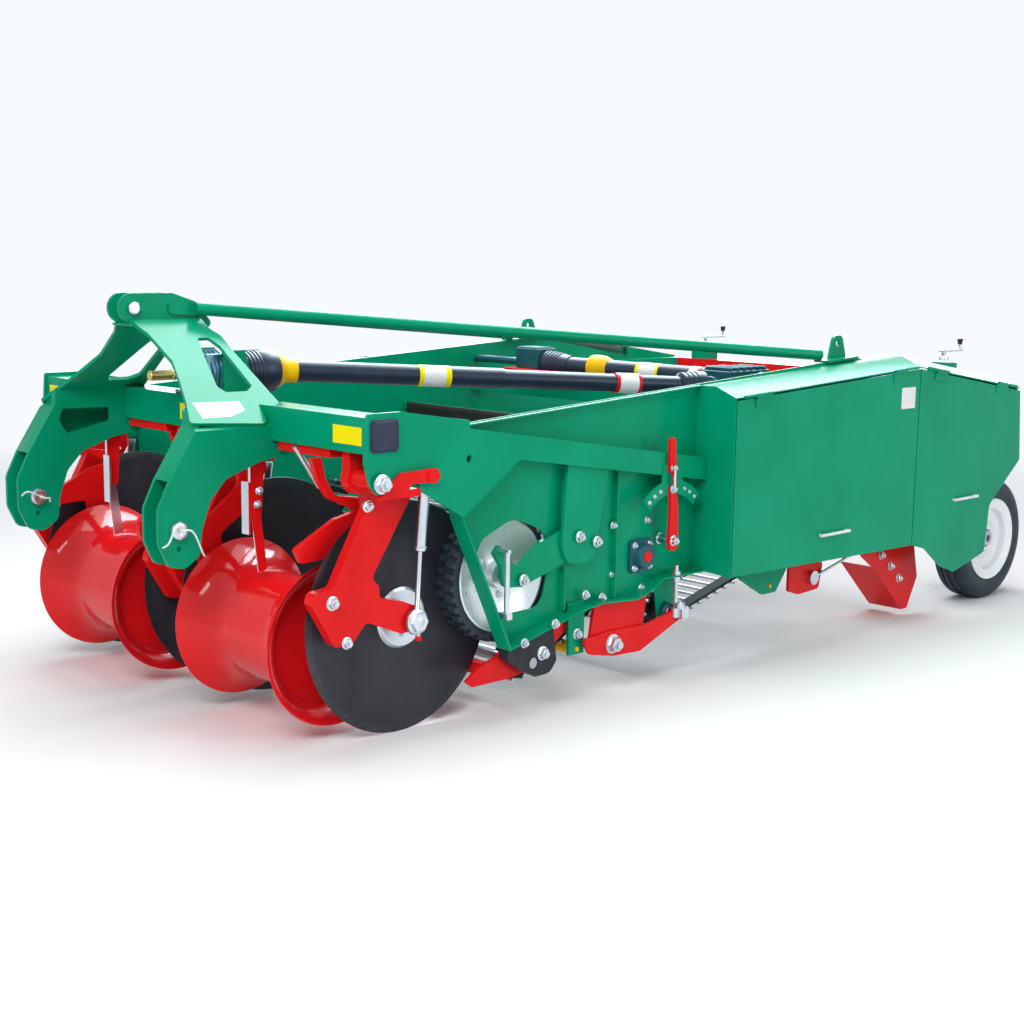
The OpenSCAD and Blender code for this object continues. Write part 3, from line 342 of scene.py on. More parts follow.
def sweep(shape, points, radius, sides=10):
    """A round wire or bar along the points."""
    points = [Vector(q) for q in points]
    side = None
    rings = []
    for k, point in enumerate(points):
        way = (points[min(k + 1, len(points) - 1)] - points[max(k - 1, 0)]).normalized()
        if side is None:
            side = way.cross((0, 0, 1) if abs(way.z) < 0.9 else (1, 0, 0))
        side = (side - way * side.dot(way)).normalized()
        up = way.cross(side)
        turns = [tau * n / sides for n in range(sides)]
        rings.append([shape.verts.new(point + (side * cos(a) + up * sin(a)) * radius) for a in turns])
    for near, far in zip(rings, rings[1:]):
        for n in range(sides):
            shape.faces.new((near[n], far[n], far[(n + 1) % sides], near[(n + 1) % sides]))
    shape.faces.new(rings[0])
    shape.faces.new(rings[-1])


pins = bmesh.new()
for x in (-0.435, 0.435):
    lathe(pins, spot(x, 0, 0.675), (1, 0, 0), [(-0.062, 0.011), (-0.060, 0.0135), (0.045, 0.014),
                                               (0.0452, 0.024), (0.047, 0.0285), (0.058, 0.0290),
                                               (0.063, 0.026), (0.0655, 0.020), (0.064, 0.012),
                                               (0.063, 0)], 32)
    lathe(pins, spot(x, 0, 0.675), (1, 0, 0), [(-0.057, 0.019), (-0.046, 0.019)], 24)
lathe(pins, spot(0, 0.128, 1.318), (1, 0, 0), [(-0.060, 0.0125), (0.038, 0.0125), (0.0382, 0.018),
                                               (0.041, 0.020), (0.052, 0.020), (0.056, 0.016),
                                               (0.0565, 0)], 32)
lathe(pins, spot(0, 0.128, 1.318), (1, 0, 0), [(-0.050, 0.0175), (-0.038, 0.0175)], 24)
add_piece("hitch_pins_turned", pins, zinc, "frame", ["hitch_pins"])
clips = bmesh.new()
for x, front, rear in ((0.500, (-0.062, 0.632), (0.084, 0.590)), (-0.372, (-0.062, 0.684), (0.040, 0.655))):
    for end, bend in ((front, 0.016), (rear, -0.004)):
        sweep(clips, smooth_path([spot(x, 0, 0.678), spot(x + 0.012, end[0] * 0.4, 0.675 + bend),
                                  spot(x + 0.010, end[0] * 0.8, end[1] + 0.014), spot(x - 0.004, *end)]),
              0.0028, 8)
add_piece("pin_spring_wires", clips, white, "frame")

# ---- Drive line: splined stub, gearboxes, guarded shafts ----
# The tractor turns a brass-coloured splined stub. Behind the small front gearbox, a telescopic shaft under
# black plastic tubes runs to the left angle gearbox; a second shaft crosses to the right one. The bells are
# ribbed black plastic with a yellow collar. The sleeves round the tubes are blank labels.

brass = finish("brassy_plating", (0.66, 0.52, 0.22), (0.54, 0.40, 0.15), (0.26, 0.38), 12, metal=1.0)
cast_blue = finish("gearbox_paint", (0.016, 0.115, 0.145), (0.010, 0.078, 0.104), (0.30, 0.45), 12,
                   bump=0.2, bump_size=260, shine=0.3)
black_plastic = finish("black_plastic", (0.022, 0.036, 0.066), (0.014, 0.024, 0.046), (0.26, 0.38), 8,
                       bump=0.08, shine=0.3)
yellow_plastic = finish("yellow_plastic", (0.92, 0.60, 0.004), (0.82, 0.44, 0.003), (0.34, 0.46), 10,
                        bump=0.05)
label_yellow = finish("label_yellow", (0.95, 0.82, 0.0015), (0.88, 0.74, 0.001), (0.30, 0.40), 12)
label_white = finish("label_white", (0.86, 0.87, 0.88), (0.78, 0.79, 0.81), (0.30, 0.42), 12)
label_red = finish("label_red", (0.70, 0.02, 0.03), (0.60, 0.015, 0.02), (0.30, 0.42), 12)

stub = bmesh.new()
stub_face = spot(0, 0.350, 1.098)
lathe(stub, stub_face, (0, -1, 0), [(-0.002, 0.0174), (0.060, 0.0174), (0.062, 0.0145), (0.141, 0.0145),
                                    (0.143, 0.013)], 36)
for k in range(6):
    a = tau * k / 6
    across = Vector((cos(a), 0, sin(a)))
    sweep(stub, [stub_face + across * 0.0135 + Vector((0, -0.062, 0)),
                 stub_face + across * 0.0135 + Vector((0, -0.140, 0))], 0.0040, 8)
add_piece("pto_stub_splined", stub, brass, "frame", ["pto_stub"])


def block(shape, low, high):
    """A plain box between two corners."""
    low, high = Vector(low), Vector(high)
    bmesh.ops.create_cube(shape, size=1, matrix=Matrix.LocRotScale((low + high) / 2, None, high - low))


housing = bmesh.new()
low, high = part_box("headstock_gearbox")
rear = PIN_Y + 0.475
block(housing, (-0.062, PIN_Y + 0.385, 1.042), (0.062, rear - 0.010, 1.165))
block(housing, (-0.083, low.y + 0.005, 1.030), (0.083, rear, 1.043))
lathe(housing, spot(0, 0.372, 1.100), (0, 1, 0), [(0, 0.058), (0.006, 0.066), (0.095, 0.074),
                                                  (0.101, 0.060)], 40)
lathe(housing, spot(0, 0.350, 1.098), (0, 1, 0), [(0, 0.030), (0.008, 0.044), (0.022, 0.045),
                                                  (0.030, 0.040)], 32)
lathe(housing, spot(0, 0.470, 1.098), (0, 1, 0), [(0, 0.054), (0.030, 0.050), (0.034, 0.056),
                                                  (0.079, 0.056)], 40)
for k in range(5):
    lathe(housing, spot(0, 0.388 + 0.016 * k, 1.100), (0, 1, 0), [(0, 0.078), (0.005, 0.078)], 40)
cast_silver = finish("gearbox_aluminium", (0.26, 0.46, 0.60), (0.12, 0.26, 0.38), (0.26, 0.42), 14,
                     metal=0.6, bump=0.1, bump_size=260)
add_piece("headstock_gearbox_cast", housing, cast_silver, "frame", ["headstock_gearbox"],
          0.004)

knuckle = spot(0, 0.690, 1.098)
left_box = spot(0.650, 2.290, 1.010)
along = (left_box - knuckle).normalized()
run = (left_box - knuckle).length


def ribbed(start, stop, first, last, ribs):
    """The profile of a corrugated plastic bell."""
    out = []
    for k in range(ribs):
        t, u = k / ribs, (k + 0.5) / ribs
        for part, lift in ((t, 0.0), (t + 0.18 / ribs, 0.004), (u, 0.004), (u + 0.18 / ribs, 0.0)):
            out.append((start + (stop - start) * part, first + (last - first) * part + lift))
    return out


guards = bmesh.new()
lathe(guards, spot(0, 0.552, 1.098), (0, 1, 0),
      [(0, 0.062), (0.002, 0.070)] + ribbed(0.006, 0.070, 0.070, 0.068, 4)
      + [(0.074, 0.073), (0.128, 0.0755), (0.134, 0.072), (0.136, 0.050)], 48)
lathe(guards, knuckle, along, [(0.08, 0.036), (0.082, 0.0375), (run * 0.5, 0.0378),
                               (run * 0.5 + 0.002, 0.034), (run - 0.09, 0.034)], 40)
lathe(guards, knuckle, along, [(run - 0.135, 0.036)] + ribbed(run - 0.13, run - 0.05, 0.046, 0.053, 4)
      + [(run - 0.045, 0.057), (run - 0.03, 0.057), (run - 0.028, 0.05)], 40)
lathe(guards, left_box - Vector((0, 0.034, 0)), (0, 1, 0), [(0, 0.022), (0.004, 0.029), (0.034, 0.029)], 24)
add_piece("front_shaft_guards", guards, black_plastic, "frame", ["front_drive_shaft"])

cross = spot(0, 2.5, 1.027)
guards = bmesh.new()
lathe(guards, cross + Vector((-0.290, 0, 0)), (1, 0, 0), [(0, 0.035), (0.002, 0.0375), (0.760, 0.0375),
                                                          (0.770, 0.034)], 36)
lathe(guards, cross + Vector((-0.430, 0, 0)), (1, 0, 0),
      [(0, 0.050)] + ribbed(0.004, 0.100, 0.055, 0.048, 5) + [(0.14, 0.042), (0.145, 0.03)], 40)
lathe(guards, cross + Vector((0.470, 0, 0)), (1, 0, 0), [(0, 0.034)] + ribbed(0.004, 0.105, 0.042, 0.052, 5)
      + [(0.116, 0.052), (0.118, 0.03)], 40)
add_piece("cross_shaft_guards", guards, black_plastic, "frame", ["cross_drive_shaft"])

collars = bmesh.new()
lathe(collars, knuckle, along, [(-0.008, 0.066), (-0.004, 0.070), (0.018, 0.066), (0.034, 0.054),
                                (0.046, 0.044), (0.050, 0.041), (0.084, 0.042), (0.088, 0.040)], 44)
lathe(collars, cross + Vector((-0.160, 0, 0)), (1, 0, 0), [(0, 0.046), (0.006, 0.054), (0.030, 0.056),
                                                           (0.070, 0.053), (0.098, 0.044),
                                                           (0.104, 0.038)], 40)
add_piece("shaft_collars", collars, yellow_plastic, "frame")


def sleeve(shape, start, way, low, high, radius, sides=40):
    """A thin wrapped band round a tube."""
    lathe(shape, start, way, [(low, radius - 0.001), (low, radius), (high, radius),
                              (high, radius - 0.001)], sides)


for name, material, bands in (("label_sleeves_white", label_white,
                               ((knuckle, along, 0.318, 0.366), (knuckle, along, 0.770, 0.815),
                                (cross, (1, 0, 0), 0.130, 0.222), (cross, (1, 0, 0), 0.400, 0.445))),
                              ("label_sleeves_yellow", label_yellow,
                               ((knuckle, along, 0.308, 0.318), (knuckle, along, 0.366, 0.378),
                                (cross, (1, 0, 0), 0.112, 0.130), (cross, (1, 0, 0), 0.222, 0.236))),
                              ("label_sleeves_red", label_red, ((knuckle, along, 0.815, 0.823),
                                                                (knuckle, along, 0.762, 0.770),
                                                                (cross, (1, 0, 0), 0.445, 0.456)))):
    wraps = bmesh.new()
    for start, way, low, high in bands:
        scale = run if start is knuckle else 1
        sleeve(wraps, start, way, low * scale, high * scale, 0.0388)
    add_piece(name, wraps, material, "frame")

boxes = bmesh.new()
block(boxes, spot(0.592, 2.312, 0.972), spot(0.733, 2.568, 1.070))
block(boxes, spot(0.560, 2.460, 0.961), spot(0.760, 2.540, 0.972))
block(boxes, spot(-0.578, 2.442, 1.006), spot(-0.442, 2.558, 1.092))
for k in range(6):
    block(boxes, spot(0.596, 2.330 + 0.042 * k, 1.069), spot(0.729, 2.338 + 0.042 * k, 1.084))
    block(boxes, spot(-0.572 + 0.022 * k, 2.446, 1.091), spot(-0.566 + 0.022 * k, 2.554, 1.099))
lathe(boxes, spot(0.650, 2.288, 1.010), (0, 1, 0), [(0, 0.034), (0.004, 0.040), (0.026, 0.040)], 32)
for start, stop, radius in ((0.733, 0.900, 0.0165), (-0.900, -0.578, 0.0165), (0.733, 0.752, 0.036),
                            (-0.600, -0.577, 0.036), (0.575, 0.593, 0.036), (-0.443, -0.425, 0.036)):
    lathe(boxes, spot(start, 2.5, 1.027), (1, 0, 0), [(0, radius), (stop - start, radius)], 28)
add_piece("angle_gearboxes_cast", boxes, cast_blue, "frame", ["angle_gearboxes"], 0.004)
saddle = bmesh.new()
block(saddle, spot(-0.620, 2.400, 0.960), spot(-0.446, 2.540, 1.005))
block(saddle, spot(-0.447, 2.400, 0.960), spot(-0.190, 2.434, 1.003))
add_piece("gearbox_saddle", saddle, red, "frame", (), 0.003)

# ---- Beam end caps and blank stickers ----
# Moulded black caps close the ends of the front beam. The stickers are plain blank film, laid on the paint.


def extruded(shape, outline, way):
    """A plate: a face with the given corners, drawn out along the way."""
    face = shape.faces.new([shape.verts.new(corner) for corner in outline])
    grown = bmesh.ops.extrude_face_region(shape, geom=[face])["geom"]
    bmesh.ops.translate(shape, vec=way,
                        verts=[part for part in grown if isinstance(part, bmesh.types.BMVert)])


def prism(shape, outline, x0, x1):
    """A plate between two places across the machine, with its outline in (distance behind pins, height)."""
    extruded(shape, [spot(x0, y, z) for y, z in outline], (x1 - x0, 0, 0))


def rounded_box(y0, z0, y1, z1, radius):
    """A rectangle's outline with round corners."""
    out = []
    for cy, cz, turn in ((y1 - radius, z1 - radius, 0), (y0 + radius, z1 - radius, 1),
                         (y0 + radius, z0 + radius, 2), (y1 - radius, z0 + radius, 3)):
        out += [(cy + radius * cos(pi / 2 * (turn + k / 5)),
                 cz + radius * sin(pi / 2 * (turn + k / 5))) for k in range(6)]
    return out


caps = bmesh.new()
cap_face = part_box("beam_caps")[1].x
for way in (1, -1):
    prism(caps, rounded_box(0.347, 0.927, 0.453, 1.025, 0.016), way * (cap_face - 0.011),
          way * (cap_face - 0.004))
    prism(caps, rounded_box(0.353, 0.933, 0.447, 1.019, 0.012), way * (cap_face - 0.005),
          way * (cap_face - 0.0005))
cap_plastic = finish("cap_plastic", (0.045, 0.050, 0.088), (0.030, 0.034, 0.064), (0.30, 0.44), 12,
                     bump=0.05)
add_piece("beam_caps_moulded", caps, cap_plastic, "frame", ["beam_caps"], 0.002)


def rise(low, high):
    """A sticker flat on the beam's front face."""
    return spot(low[0], 0.3443, low[1]), spot(high[0], 0.3455, high[1])


stickers = bmesh.new()
for low, high in (((0.790, 0.946), (0.925, 1.000)), ((-0.038, 0.946), (0.010, 1.000)),
                  ((-0.925, 0.946), (-0.800, 1.000))):
    block(stickers, *rise(low, high))
add_piece("blank_stickers_yellow", stickers, label_yellow, "frame")

leg_top = Vector((0.050, 0, 1.265))
leg_way = Vector((0.430, 0, -0.297)).normalized()
leg_up = Vector((0.297, 0, 0.430)).normalized()
sheet_half = 0.0115
sticker_depth = 0.0011
patch = ((0.406, 0.116), (0.412, 0.283), (0.457, 0.279), (0.480, 0.216), (0.480, 0.114))
stickers = bmesh.new()
corners = [leg_top + leg_way * u + leg_up * sheet_half + Vector((0, PIN_Y + y, 0)) for u, y in patch]
extruded(stickers, corners, leg_up * sticker_depth)
add_piece("blank_sticker_white", stickers, label_white, "frame")
door_skin = 1.078
for side, way in SIDES:
    stickers = bmesh.new()
    prism(stickers, rounded_box(2.985, 0.915, 3.085, 1.000, 0.004), way * (door_skin - 0.0006),
          way * (door_skin + 0.0006))
    add_piece(f"blank_sticker_door_{side}", stickers, label_white, f"front_door_{side}")

# ---- Disc coulters ----
# Flat boron steel discs with a dark works coating and a ground, lighter cutting edge, bolted to a zinc
# plated hub with a shallow bearing dish on its outer side.

disc_dark = finish("disc_coating", (0.040, 0.041, 0.052), (0.028, 0.029, 0.038), (0.30, 0.42), 6,
                   bump=0.05, shine=0.2)
ground = finish("ground_edge", (0.060, 0.062, 0.076), (0.038, 0.040, 0.050), (0.26, 0.40), 30, metal=0.5,
                shine=0.3)
for side, way in SIDES:
    for place, out in (("outer", way), ("inner", -way)):
        body = f"disc_{place}_{side}"
        low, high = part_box(body)
        hub = Vector((way * RIDGE_X + out * 0.333, (low.y + high.y) / 2, (low.z + high.z) / 2))
        radius = (high.z - low.z) / 2
        shape = bmesh.new()
        lathe(shape, hub, (out, 0, 0), [(-0.004, 0), (-0.004, radius - 0.026), (-0.0008, radius - 0.0005),
                                        (0.0008, radius), (0.004, radius - 0.025), (0.004, 0)], 160)
        disc = add_piece(body + "_blade", shape, disc_dark, body, [body], 0, 12)
        repaint(disc, ground,
                lambda c: hypot(c.y - hub.y, c.z - hub.z) > radius - 0.0265 and abs(c.x - hub.x) < 0.003)
        shape = bmesh.new()
        lathe(shape, hub, (out, 0, 0), [(-0.016, 0), (-0.016, 0.048), (-0.014, 0.050), (-0.003, 0.050)], 48)
        lathe(shape, hub, (out, 0, 0), [(0.003, 0.096), (0.006, 0.098), (0.014, 0.090), (0.0145, 0.084),
                                        (0.009, 0.062), (0.009, 0.041), (0.022, 0.040), (0.023, 0.038),
                                        (0.023, 0.0175), (0.010, 0.0165)], 64)
        for k in range(6):
            a = tau * (k + 0.5) / 6
            bolt(shape, hub + Vector((out * 0.0085, cos(a) * 0.052, sin(a) * 0.052)), (out, 0, 0), 0.013)
        add_piece(body + "_hub", shape, zinc, body)

# ---- Depth struts of the coulters ----
# A chrome rod in a bright tube, held by an eye and a big nut on the disc's axle and by the beam above. A
# red plastic cap closes each axle's end.

struts = bmesh.new()
caps = bmesh.new()
for way in (1, -1):
    for out in (way, -way):
        x = way * RIDGE_X + out * (0.398 + 0.015)
        axle = spot(x, 0.612, 0.371)
        lathe(struts, axle + Vector((-0.014 * out, 0, 0)), (out, 0, 0), [(0, 0.014), (0.022, 0.014)], 20)
        lathe(struts, axle + Vector((-0.010 * out, 0, 0)), (out, 0, 0),
              [(0, 0.034), (0.003, 0.041), (0.010, 0.043), (0.017, 0.041), (0.020, 0.034)], 40)
        lathe(struts, axle + Vector((0.009 * out, 0, 0)), (out, 0, 0),
              [(0, 0.033), (0.012, 0.033), (0.014, 0.030)], 6)
        lathe(struts, spot(x, 0.613, 0.395), (0, 0.013, 0.215), [(0, 0.011), (0.004, 0.0085),
                                                                 (0.225, 0.0085)], 20)
        lathe(struts, spot(x, 0.6245, 0.592), (0, 0.018, 0.190),
              [(0, 0.013), (0.003, 0.020), (0.014, 0.021), (0.017, 0.0185), (0.175, 0.0185),
               (0.178, 0.020), (0.192, 0.020)], 32)
        lathe(struts, axle + Vector((0.022 * out, 0, 0)), (out, 0, 0),
              [(0, 0.0155), (0.001, 0.014), (0.0012, 0)], 24)
        lathe(struts, axle + Vector((0.003 * out, 0.004, -0.036)), (0, 0.10, -1),
              [(0, 0.007), (0.012, 0.007)], 12)
        lathe(caps, axle + Vector((0.003 * out, 0.005, -0.047)), (0, 0.10, -1),
              [(0, 0.010), (0.012, 0.011), (0.014, 0.008)], 16)
bars = [spot(0.600, 0.346, 0.914), spot(0.600, 0.438, 0.781)]
sweep(struts, bars, 0.009, 14)
sweep(struts, [Vector((-p.x, p.y, p.z)) for p in bars], 0.009, 14)
cap_red = finish("grease_cap_red", (0.82, 0.015, 0.015), (0.70, 0.012, 0.012), (0.30, 0.42), 30)
add_piece("depth_struts_chromed", struts, zinc, "frame", ["depth_struts"])
add_piece("axle_grease_caps", caps, cap_red, "frame")

# ---- Ridge rollers ----
# Spun steel drums, waisted so that they hug a potato ridge, in thick red gloss. The end webs sit inside the
# flared mouths and carry the hub.

drum_paint = finish("drum_gloss", (0.80, 0.010, 0.014), (0.70, 0.008, 0.011), (0.16, 0.24), 4, coat=0.55,
                    shine=0.05)
half, flat, waist, flare = 0.252, 0.100, 0.180, 0.264
reach, climb = half - flat, flare - waist
curve = (reach * reach + climb * climb) / (2 * climb)


def skin(x, bore=0.0):
    """The drum's radius at a distance from its middle, or of its inner face."""
    x = abs(x)
    r = waist if x <= flat else waist + curve - (curve * curve - (x - flat) ** 2) ** 0.5
    return r - bore


for side, way in SIDES:
    body = f"ridge_roller_{side}"
    low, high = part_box(body)
    hub = (low + high) / 2
    steps = [flat + reach * k / 22 for k in range(1, 22)] + [half - 0.001]
    outer = ([(-x, skin(x)) for x in reversed(steps)] + [(-flat, waist), (0, waist), (flat, waist)]
             + [(x, skin(x)) for x in steps])
    mouth = [(half, flare - 0.0035), (half - 0.001, flare - 0.010)]
    inner = [(x, skin(x, 0.012)) for x in (0.245, 0.235, 0.225, 0.215, 0.206)]
    web = [(0.203, 0.210), (0.202, 0.200), (0.202, 0.060), (0.204, 0.050), (0.244, 0.048), (0.246, 0.046),
           (0.246, 0.0165), (0.210, 0.0163), (0.210, 0)]
    right = mouth + inner + web
    profile = [(-x, r) for x, r in reversed(right)] + outer + right
    shape = bmesh.new()
    lathe(shape, hub, (1, 0, 0), profile, 160)
    add_piece(body + "_drum", shape, drum_paint, body, [body], 0, 30)

# ---- Press wheels ----
# Narrow wheels that roll on the ridge's shoulders: a deep pressed and chromed dish on a turned hub, and a
# solid rubber tyre with cross lugs.

tyre_rubber = finish("tyre_rubber", (0.028, 0.040, 0.056), (0.018, 0.028, 0.040), (0.50, 0.66), 12,
                     bump=0.2, bump_size=320, shine=0.3)
chrome = finish("plated_dish", (0.82, 0.88, 0.91), (0.72, 0.79, 0.83), (0.24, 0.34), 5, metal=0.6,
                shine=0.5)


def lugs(shape, hub, way, count, profile, width):
    """Raised blocks round a tyre: rows of (distance along the axle, foot radius, top radius, turn)."""
    for n in range(count):
        corners = []
        for x, r0, r1, turn in profile:
            a = tau * n / count + turn
            ring = []
            for r, lean in ((r0, -width), (r1, -width * 0.8), (r1, width * 0.8), (r0, width)):
                b = a + lean / r
                ring.append(shape.verts.new(hub + Vector((way * x, r * cos(b), r * sin(b)))))
            corners.append(ring)
        for near, far in zip(corners, corners[1:]):
            for k in range(4):
                shape.faces.new((near[k], far[k], far[(k + 1) % 4], near[(k + 1) % 4]))
        shape.faces.new(corners[0])
        shape.faces.new(corners[-1])


for side, way in SIDES:
    body = f"press_wheel_{side}"
    low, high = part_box(f"press_tyre_{side}")
    hub = (low + high) / 2
    radius, width = (high.z - low.z) / 2, (high.x - low.x) / 2
    shape = bmesh.new()
    lathe(shape, hub, (way, 0, 0), [(-width + 0.004, radius - 0.036), (-width + 0.001, radius - 0.022),
                                    (-width + 0.006, radius - 0.012), (0, radius - 0.009),
                                    (width - 0.006, radius - 0.012), (width - 0.001, radius - 0.022),
                                    (width - 0.004, radius - 0.036)], 96, ring=True)
    lugs(shape, hub, way, 36, [(-width + 0.001, radius - 0.024, radius - 0.016, 0.0),
                               (-width + 0.009, radius - 0.015, radius - 0.001, 0.0),
                               (-0.004, radius - 0.012, radius, 0.02)], 0.011)
    lugs(shape, hub, way, 36, [(0.004, radius - 0.012, radius, 0.067),
                               (width - 0.009, radius - 0.015, radius - 0.001, 0.087),
                               (width - 0.001, radius - 0.024, radius - 0.016, 0.087)], 0.011)
    add_piece(f"press_tyre_{side}_lugged", shape, tyre_rubber, body, [f"press_tyre_{side}"], 0, 25)
    shape = bmesh.new()
    lathe(shape, hub, (way, 0, 0), [(width - 0.003, radius - 0.035), (width - 0.002, radius - 0.041),
                                    (width - 0.006, radius - 0.047), (0.020, radius - 0.070),
                                    (0.004, 0.100), (0.002, 0.062), (0.006, 0.046), (0.030, 0.043),
                                    (width - 0.005, 0.042), (width - 0.0045, 0.018), (-0.003, 0.0165),
                                    (-0.004, 0.044), (-0.004, 0.100), (0.012, radius - 0.072),
                                    (-0.010, radius - 0.050), (-width + 0.006, radius - 0.046),
                                    (-width + 0.003, radius - 0.036)], 96, ring=True)
    for k in range(5):
        a = tau * k / 5
        bolt(shape, hub + Vector((way * 0.004, cos(a) * 0.075, sin(a) * 0.075)), (way, 0, 0), 0.017)
    add_piece(f"press_rim_{side}_dish", shape, chrome, body, [f"press_rim_{side}"], 0, 25)

# ---- Webs ----
# Two endless sieves: round steel rods riveted to three rubber belts, running over rubber wheels on cross
# shafts. The soil falls through between the rods.

belt_rubber = finish("belt_rubber", (0.030, 0.030, 0.032), (0.020, 0.020, 0.022), (0.50, 0.68), 18,
                     bump=0.3, bump_size=200)


def loop_point(p, q, radius, s):
    """The place at distance s along the loop round two axes, in (Y, Z)."""
    p, q = Vector(p), Vector(q)
    d, a, arc = (q - p).length, atan2(q.y - p.y, q.x - p.x), pi * radius
    u = (q - p).normalized()
    n = Vector((-u.y, u.x))
    s %= 2 * d + 2 * arc
    if s < d:
        return p + n * radius + u * s
    if s < d + arc:
        b = a + pi / 2 - (s - d) / radius
        return q + Vector((cos(b), sin(b))) * radius
    if s < 2 * d + arc:
        return q - n * radius - u * (s - d - arc)
    b = a - pi / 2 - (s - 2 * d - arc) / radius
    return p + Vector((cos(b), sin(b))) * radius


for name, p, q in (("front_web", (1.055, 0.175), (1.608, 0.465)),
                   ("rear_web", (1.760, 0.240), (3.350, 0.650))):
    line, belt_top, belt_foot = 0.070, 0.066, 0.056
    length = (Vector(q) - Vector(p)).length
    total = 2 * length + tau * line
    count = int(total / 0.050)
    rods, belts = bmesh.new(), bmesh.new()
    for k in range(count):
        at = loop_point(p, q, line, k * total / count)
        lathe(rods, spot(-0.878, *at), (1, 0, 0), [(0, 0.0052), (0.001, 0.006), (1.755, 0.006),
                                                   (1.756, 0.0052)], 10)
        for x in (-0.841, 0.0, 0.841):
            lathe(rods, spot(x - 0.016, *at), (1, 0, 0), [(0, 0.0066), (0.001, 0.0076), (0.031, 0.0076),
                                                          (0.032, 0.0066)], 8)
    for x in (-0.866, -0.025, 0.816):
        steps = int(total / 0.025)
        rings = []
        for k in range(steps):
            outer = loop_point(p, q, belt_top, k * (total - tau * (line - belt_top)) / steps)
            inner = loop_point(p, q, belt_foot, k * (total - tau * (line - belt_foot)) / steps)
            section = ((0, outer), (0.05, outer), (0.05, inner), (0, inner))
            rings.append([belts.verts.new(spot(x + dx, *at)) for dx, at in section])
        for k in range(steps):
            a, b = rings[k], rings[(k + 1) % steps]
            for n in range(4):
                belts.faces.new((a[n], b[n], b[(n + 1) % 4], a[(n + 1) % 4]))
    add_piece(name + "_rods", rods, rod_steel, "frame", [name])
    add_piece(name + "_belts", belts, belt_rubber, "frame")

shafts, wheels = bmesh.new(), bmesh.new()
for y, z, end in ((1.055, 0.175, 0.940), (1.608, 0.465, 0.940), (1.760, 0.240, 0.930),
                  (3.350, 0.650, 0.940)):
    lathe(shafts, spot(-end, y, z), (1, 0, 0),
          [(0, 0.018), (0.002, 0.0198), (2 * end - 0.002, 0.0198), (2 * end, 0.018)], 28)
    for x in (-0.861, -0.020, 0.821):
        lathe(wheels, spot(x, y, z), (1, 0, 0), [(0, 0.0205), (0, 0.028), (0.006, 0.030), (0.006, 0.046),
                                                 (0, 0.050), (0.001, 0.0552), (0.039, 0.0552),
                                                 (0.040, 0.050), (0.034, 0.046), (0.034, 0.030),
                                                 (0.040, 0.028), (0.040, 0.0205)], 40, ring=True)
add_piece("web_shafts", shafts, rod_steel, "frame", ["web_rollers"])
add_piece("web_wheels", wheels, belt_rubber, "frame")
cut_plate("web_guides", "frame", finish("guide_paint", (0.030, 0.032, 0.038), (0.020, 0.022, 0.027),
                                        (0.30, 0.45), 9, coat=0.1, bump=0.1), 0.003)

rollers = bmesh.new()
for way, y, z in ((1, 1.285, 0.181), (-1, 1.285, 0.181), (1, 2.370, 0.250), (-1, 2.370, 0.250)):
    start = spot(way * 0.830, y, z)
    lathe(rollers, start, (way, 0, 0), [(0, 0.009), (0.001, 0.020), (0.004, 0.024), (0.024, 0.022),
                                        (0.032, 0.022), (0.052, 0.024), (0.055, 0.020), (0.056, 0.009)],
          36)
    lathe(rollers, start, (way, 0, 0), [(0.050, 0.008), (0.092, 0.008)], 16)
add_piece("web_support_rollers_turned", rollers, yellow_plastic, "frame",
          ["web_support_rollers"])

# ---- Flange bearings of the web shafts ----
# Square cast flange bearings in blue-green paint, four bolts each, with a red grease cap at the middle.

bearings, caps, ends = bmesh.new(), bmesh.new(), bmesh.new()
wall_face = 0.906
for way in (1, -1):
    for y, z in ((1.608, 0.465), (3.350, 0.650)):
        prism(bearings, rounded_box(y - 0.058, z - 0.058, y + 0.058, z + 0.058, 0.016), way * wall_face,
              way * 0.920)
        lathe(bearings, spot(way * 0.918, y, z), (way, 0, 0), [(0, 0.050), (0.004, 0.047), (0.022, 0.043),
                                                               (0.029, 0.040), (0.030, 0.024)], 40)
        lathe(ends, spot(way * 0.946, y, z), (way, 0, 0), [(0, 0.030), (0.001, 0.030), (0.001, 0.021),
                                                           (0, 0.021)], 32, ring=True)
        lathe(caps, spot(way * 0.940, y, z), (way, 0, 0), [(0, 0.019), (0.010, 0.019), (0.014, 0.016),
                                                           (0.015, 0)], 28)
        for dy, dz in ((-0.040, -0.040), (0.040, -0.040), (0.040, 0.040), (-0.040, 0.040)):
            bolt(ends, spot(way * 0.920, y + dy, z + dz), (way, 0, 0), 0.016)
    lathe(bearings, spot(way * wall_face, 1.760, 0.240), (way, 0, 0),
          [(0, 0.034), (0.018, 0.034), (0.022, 0.030)], 32)
add_piece("flange_bearings_cast", bearings, cast_blue, "frame", ["flange_bearings"], 0.002)
add_piece("bearing_caps", caps, cap_red, "frame")
add_piece("bearing_bolts", ends, zinc, "frame")

# ---- Web tension levers ----
# A red hand lever in two halves, joined by a zinc plated clevis, on a green quadrant cut with notches.

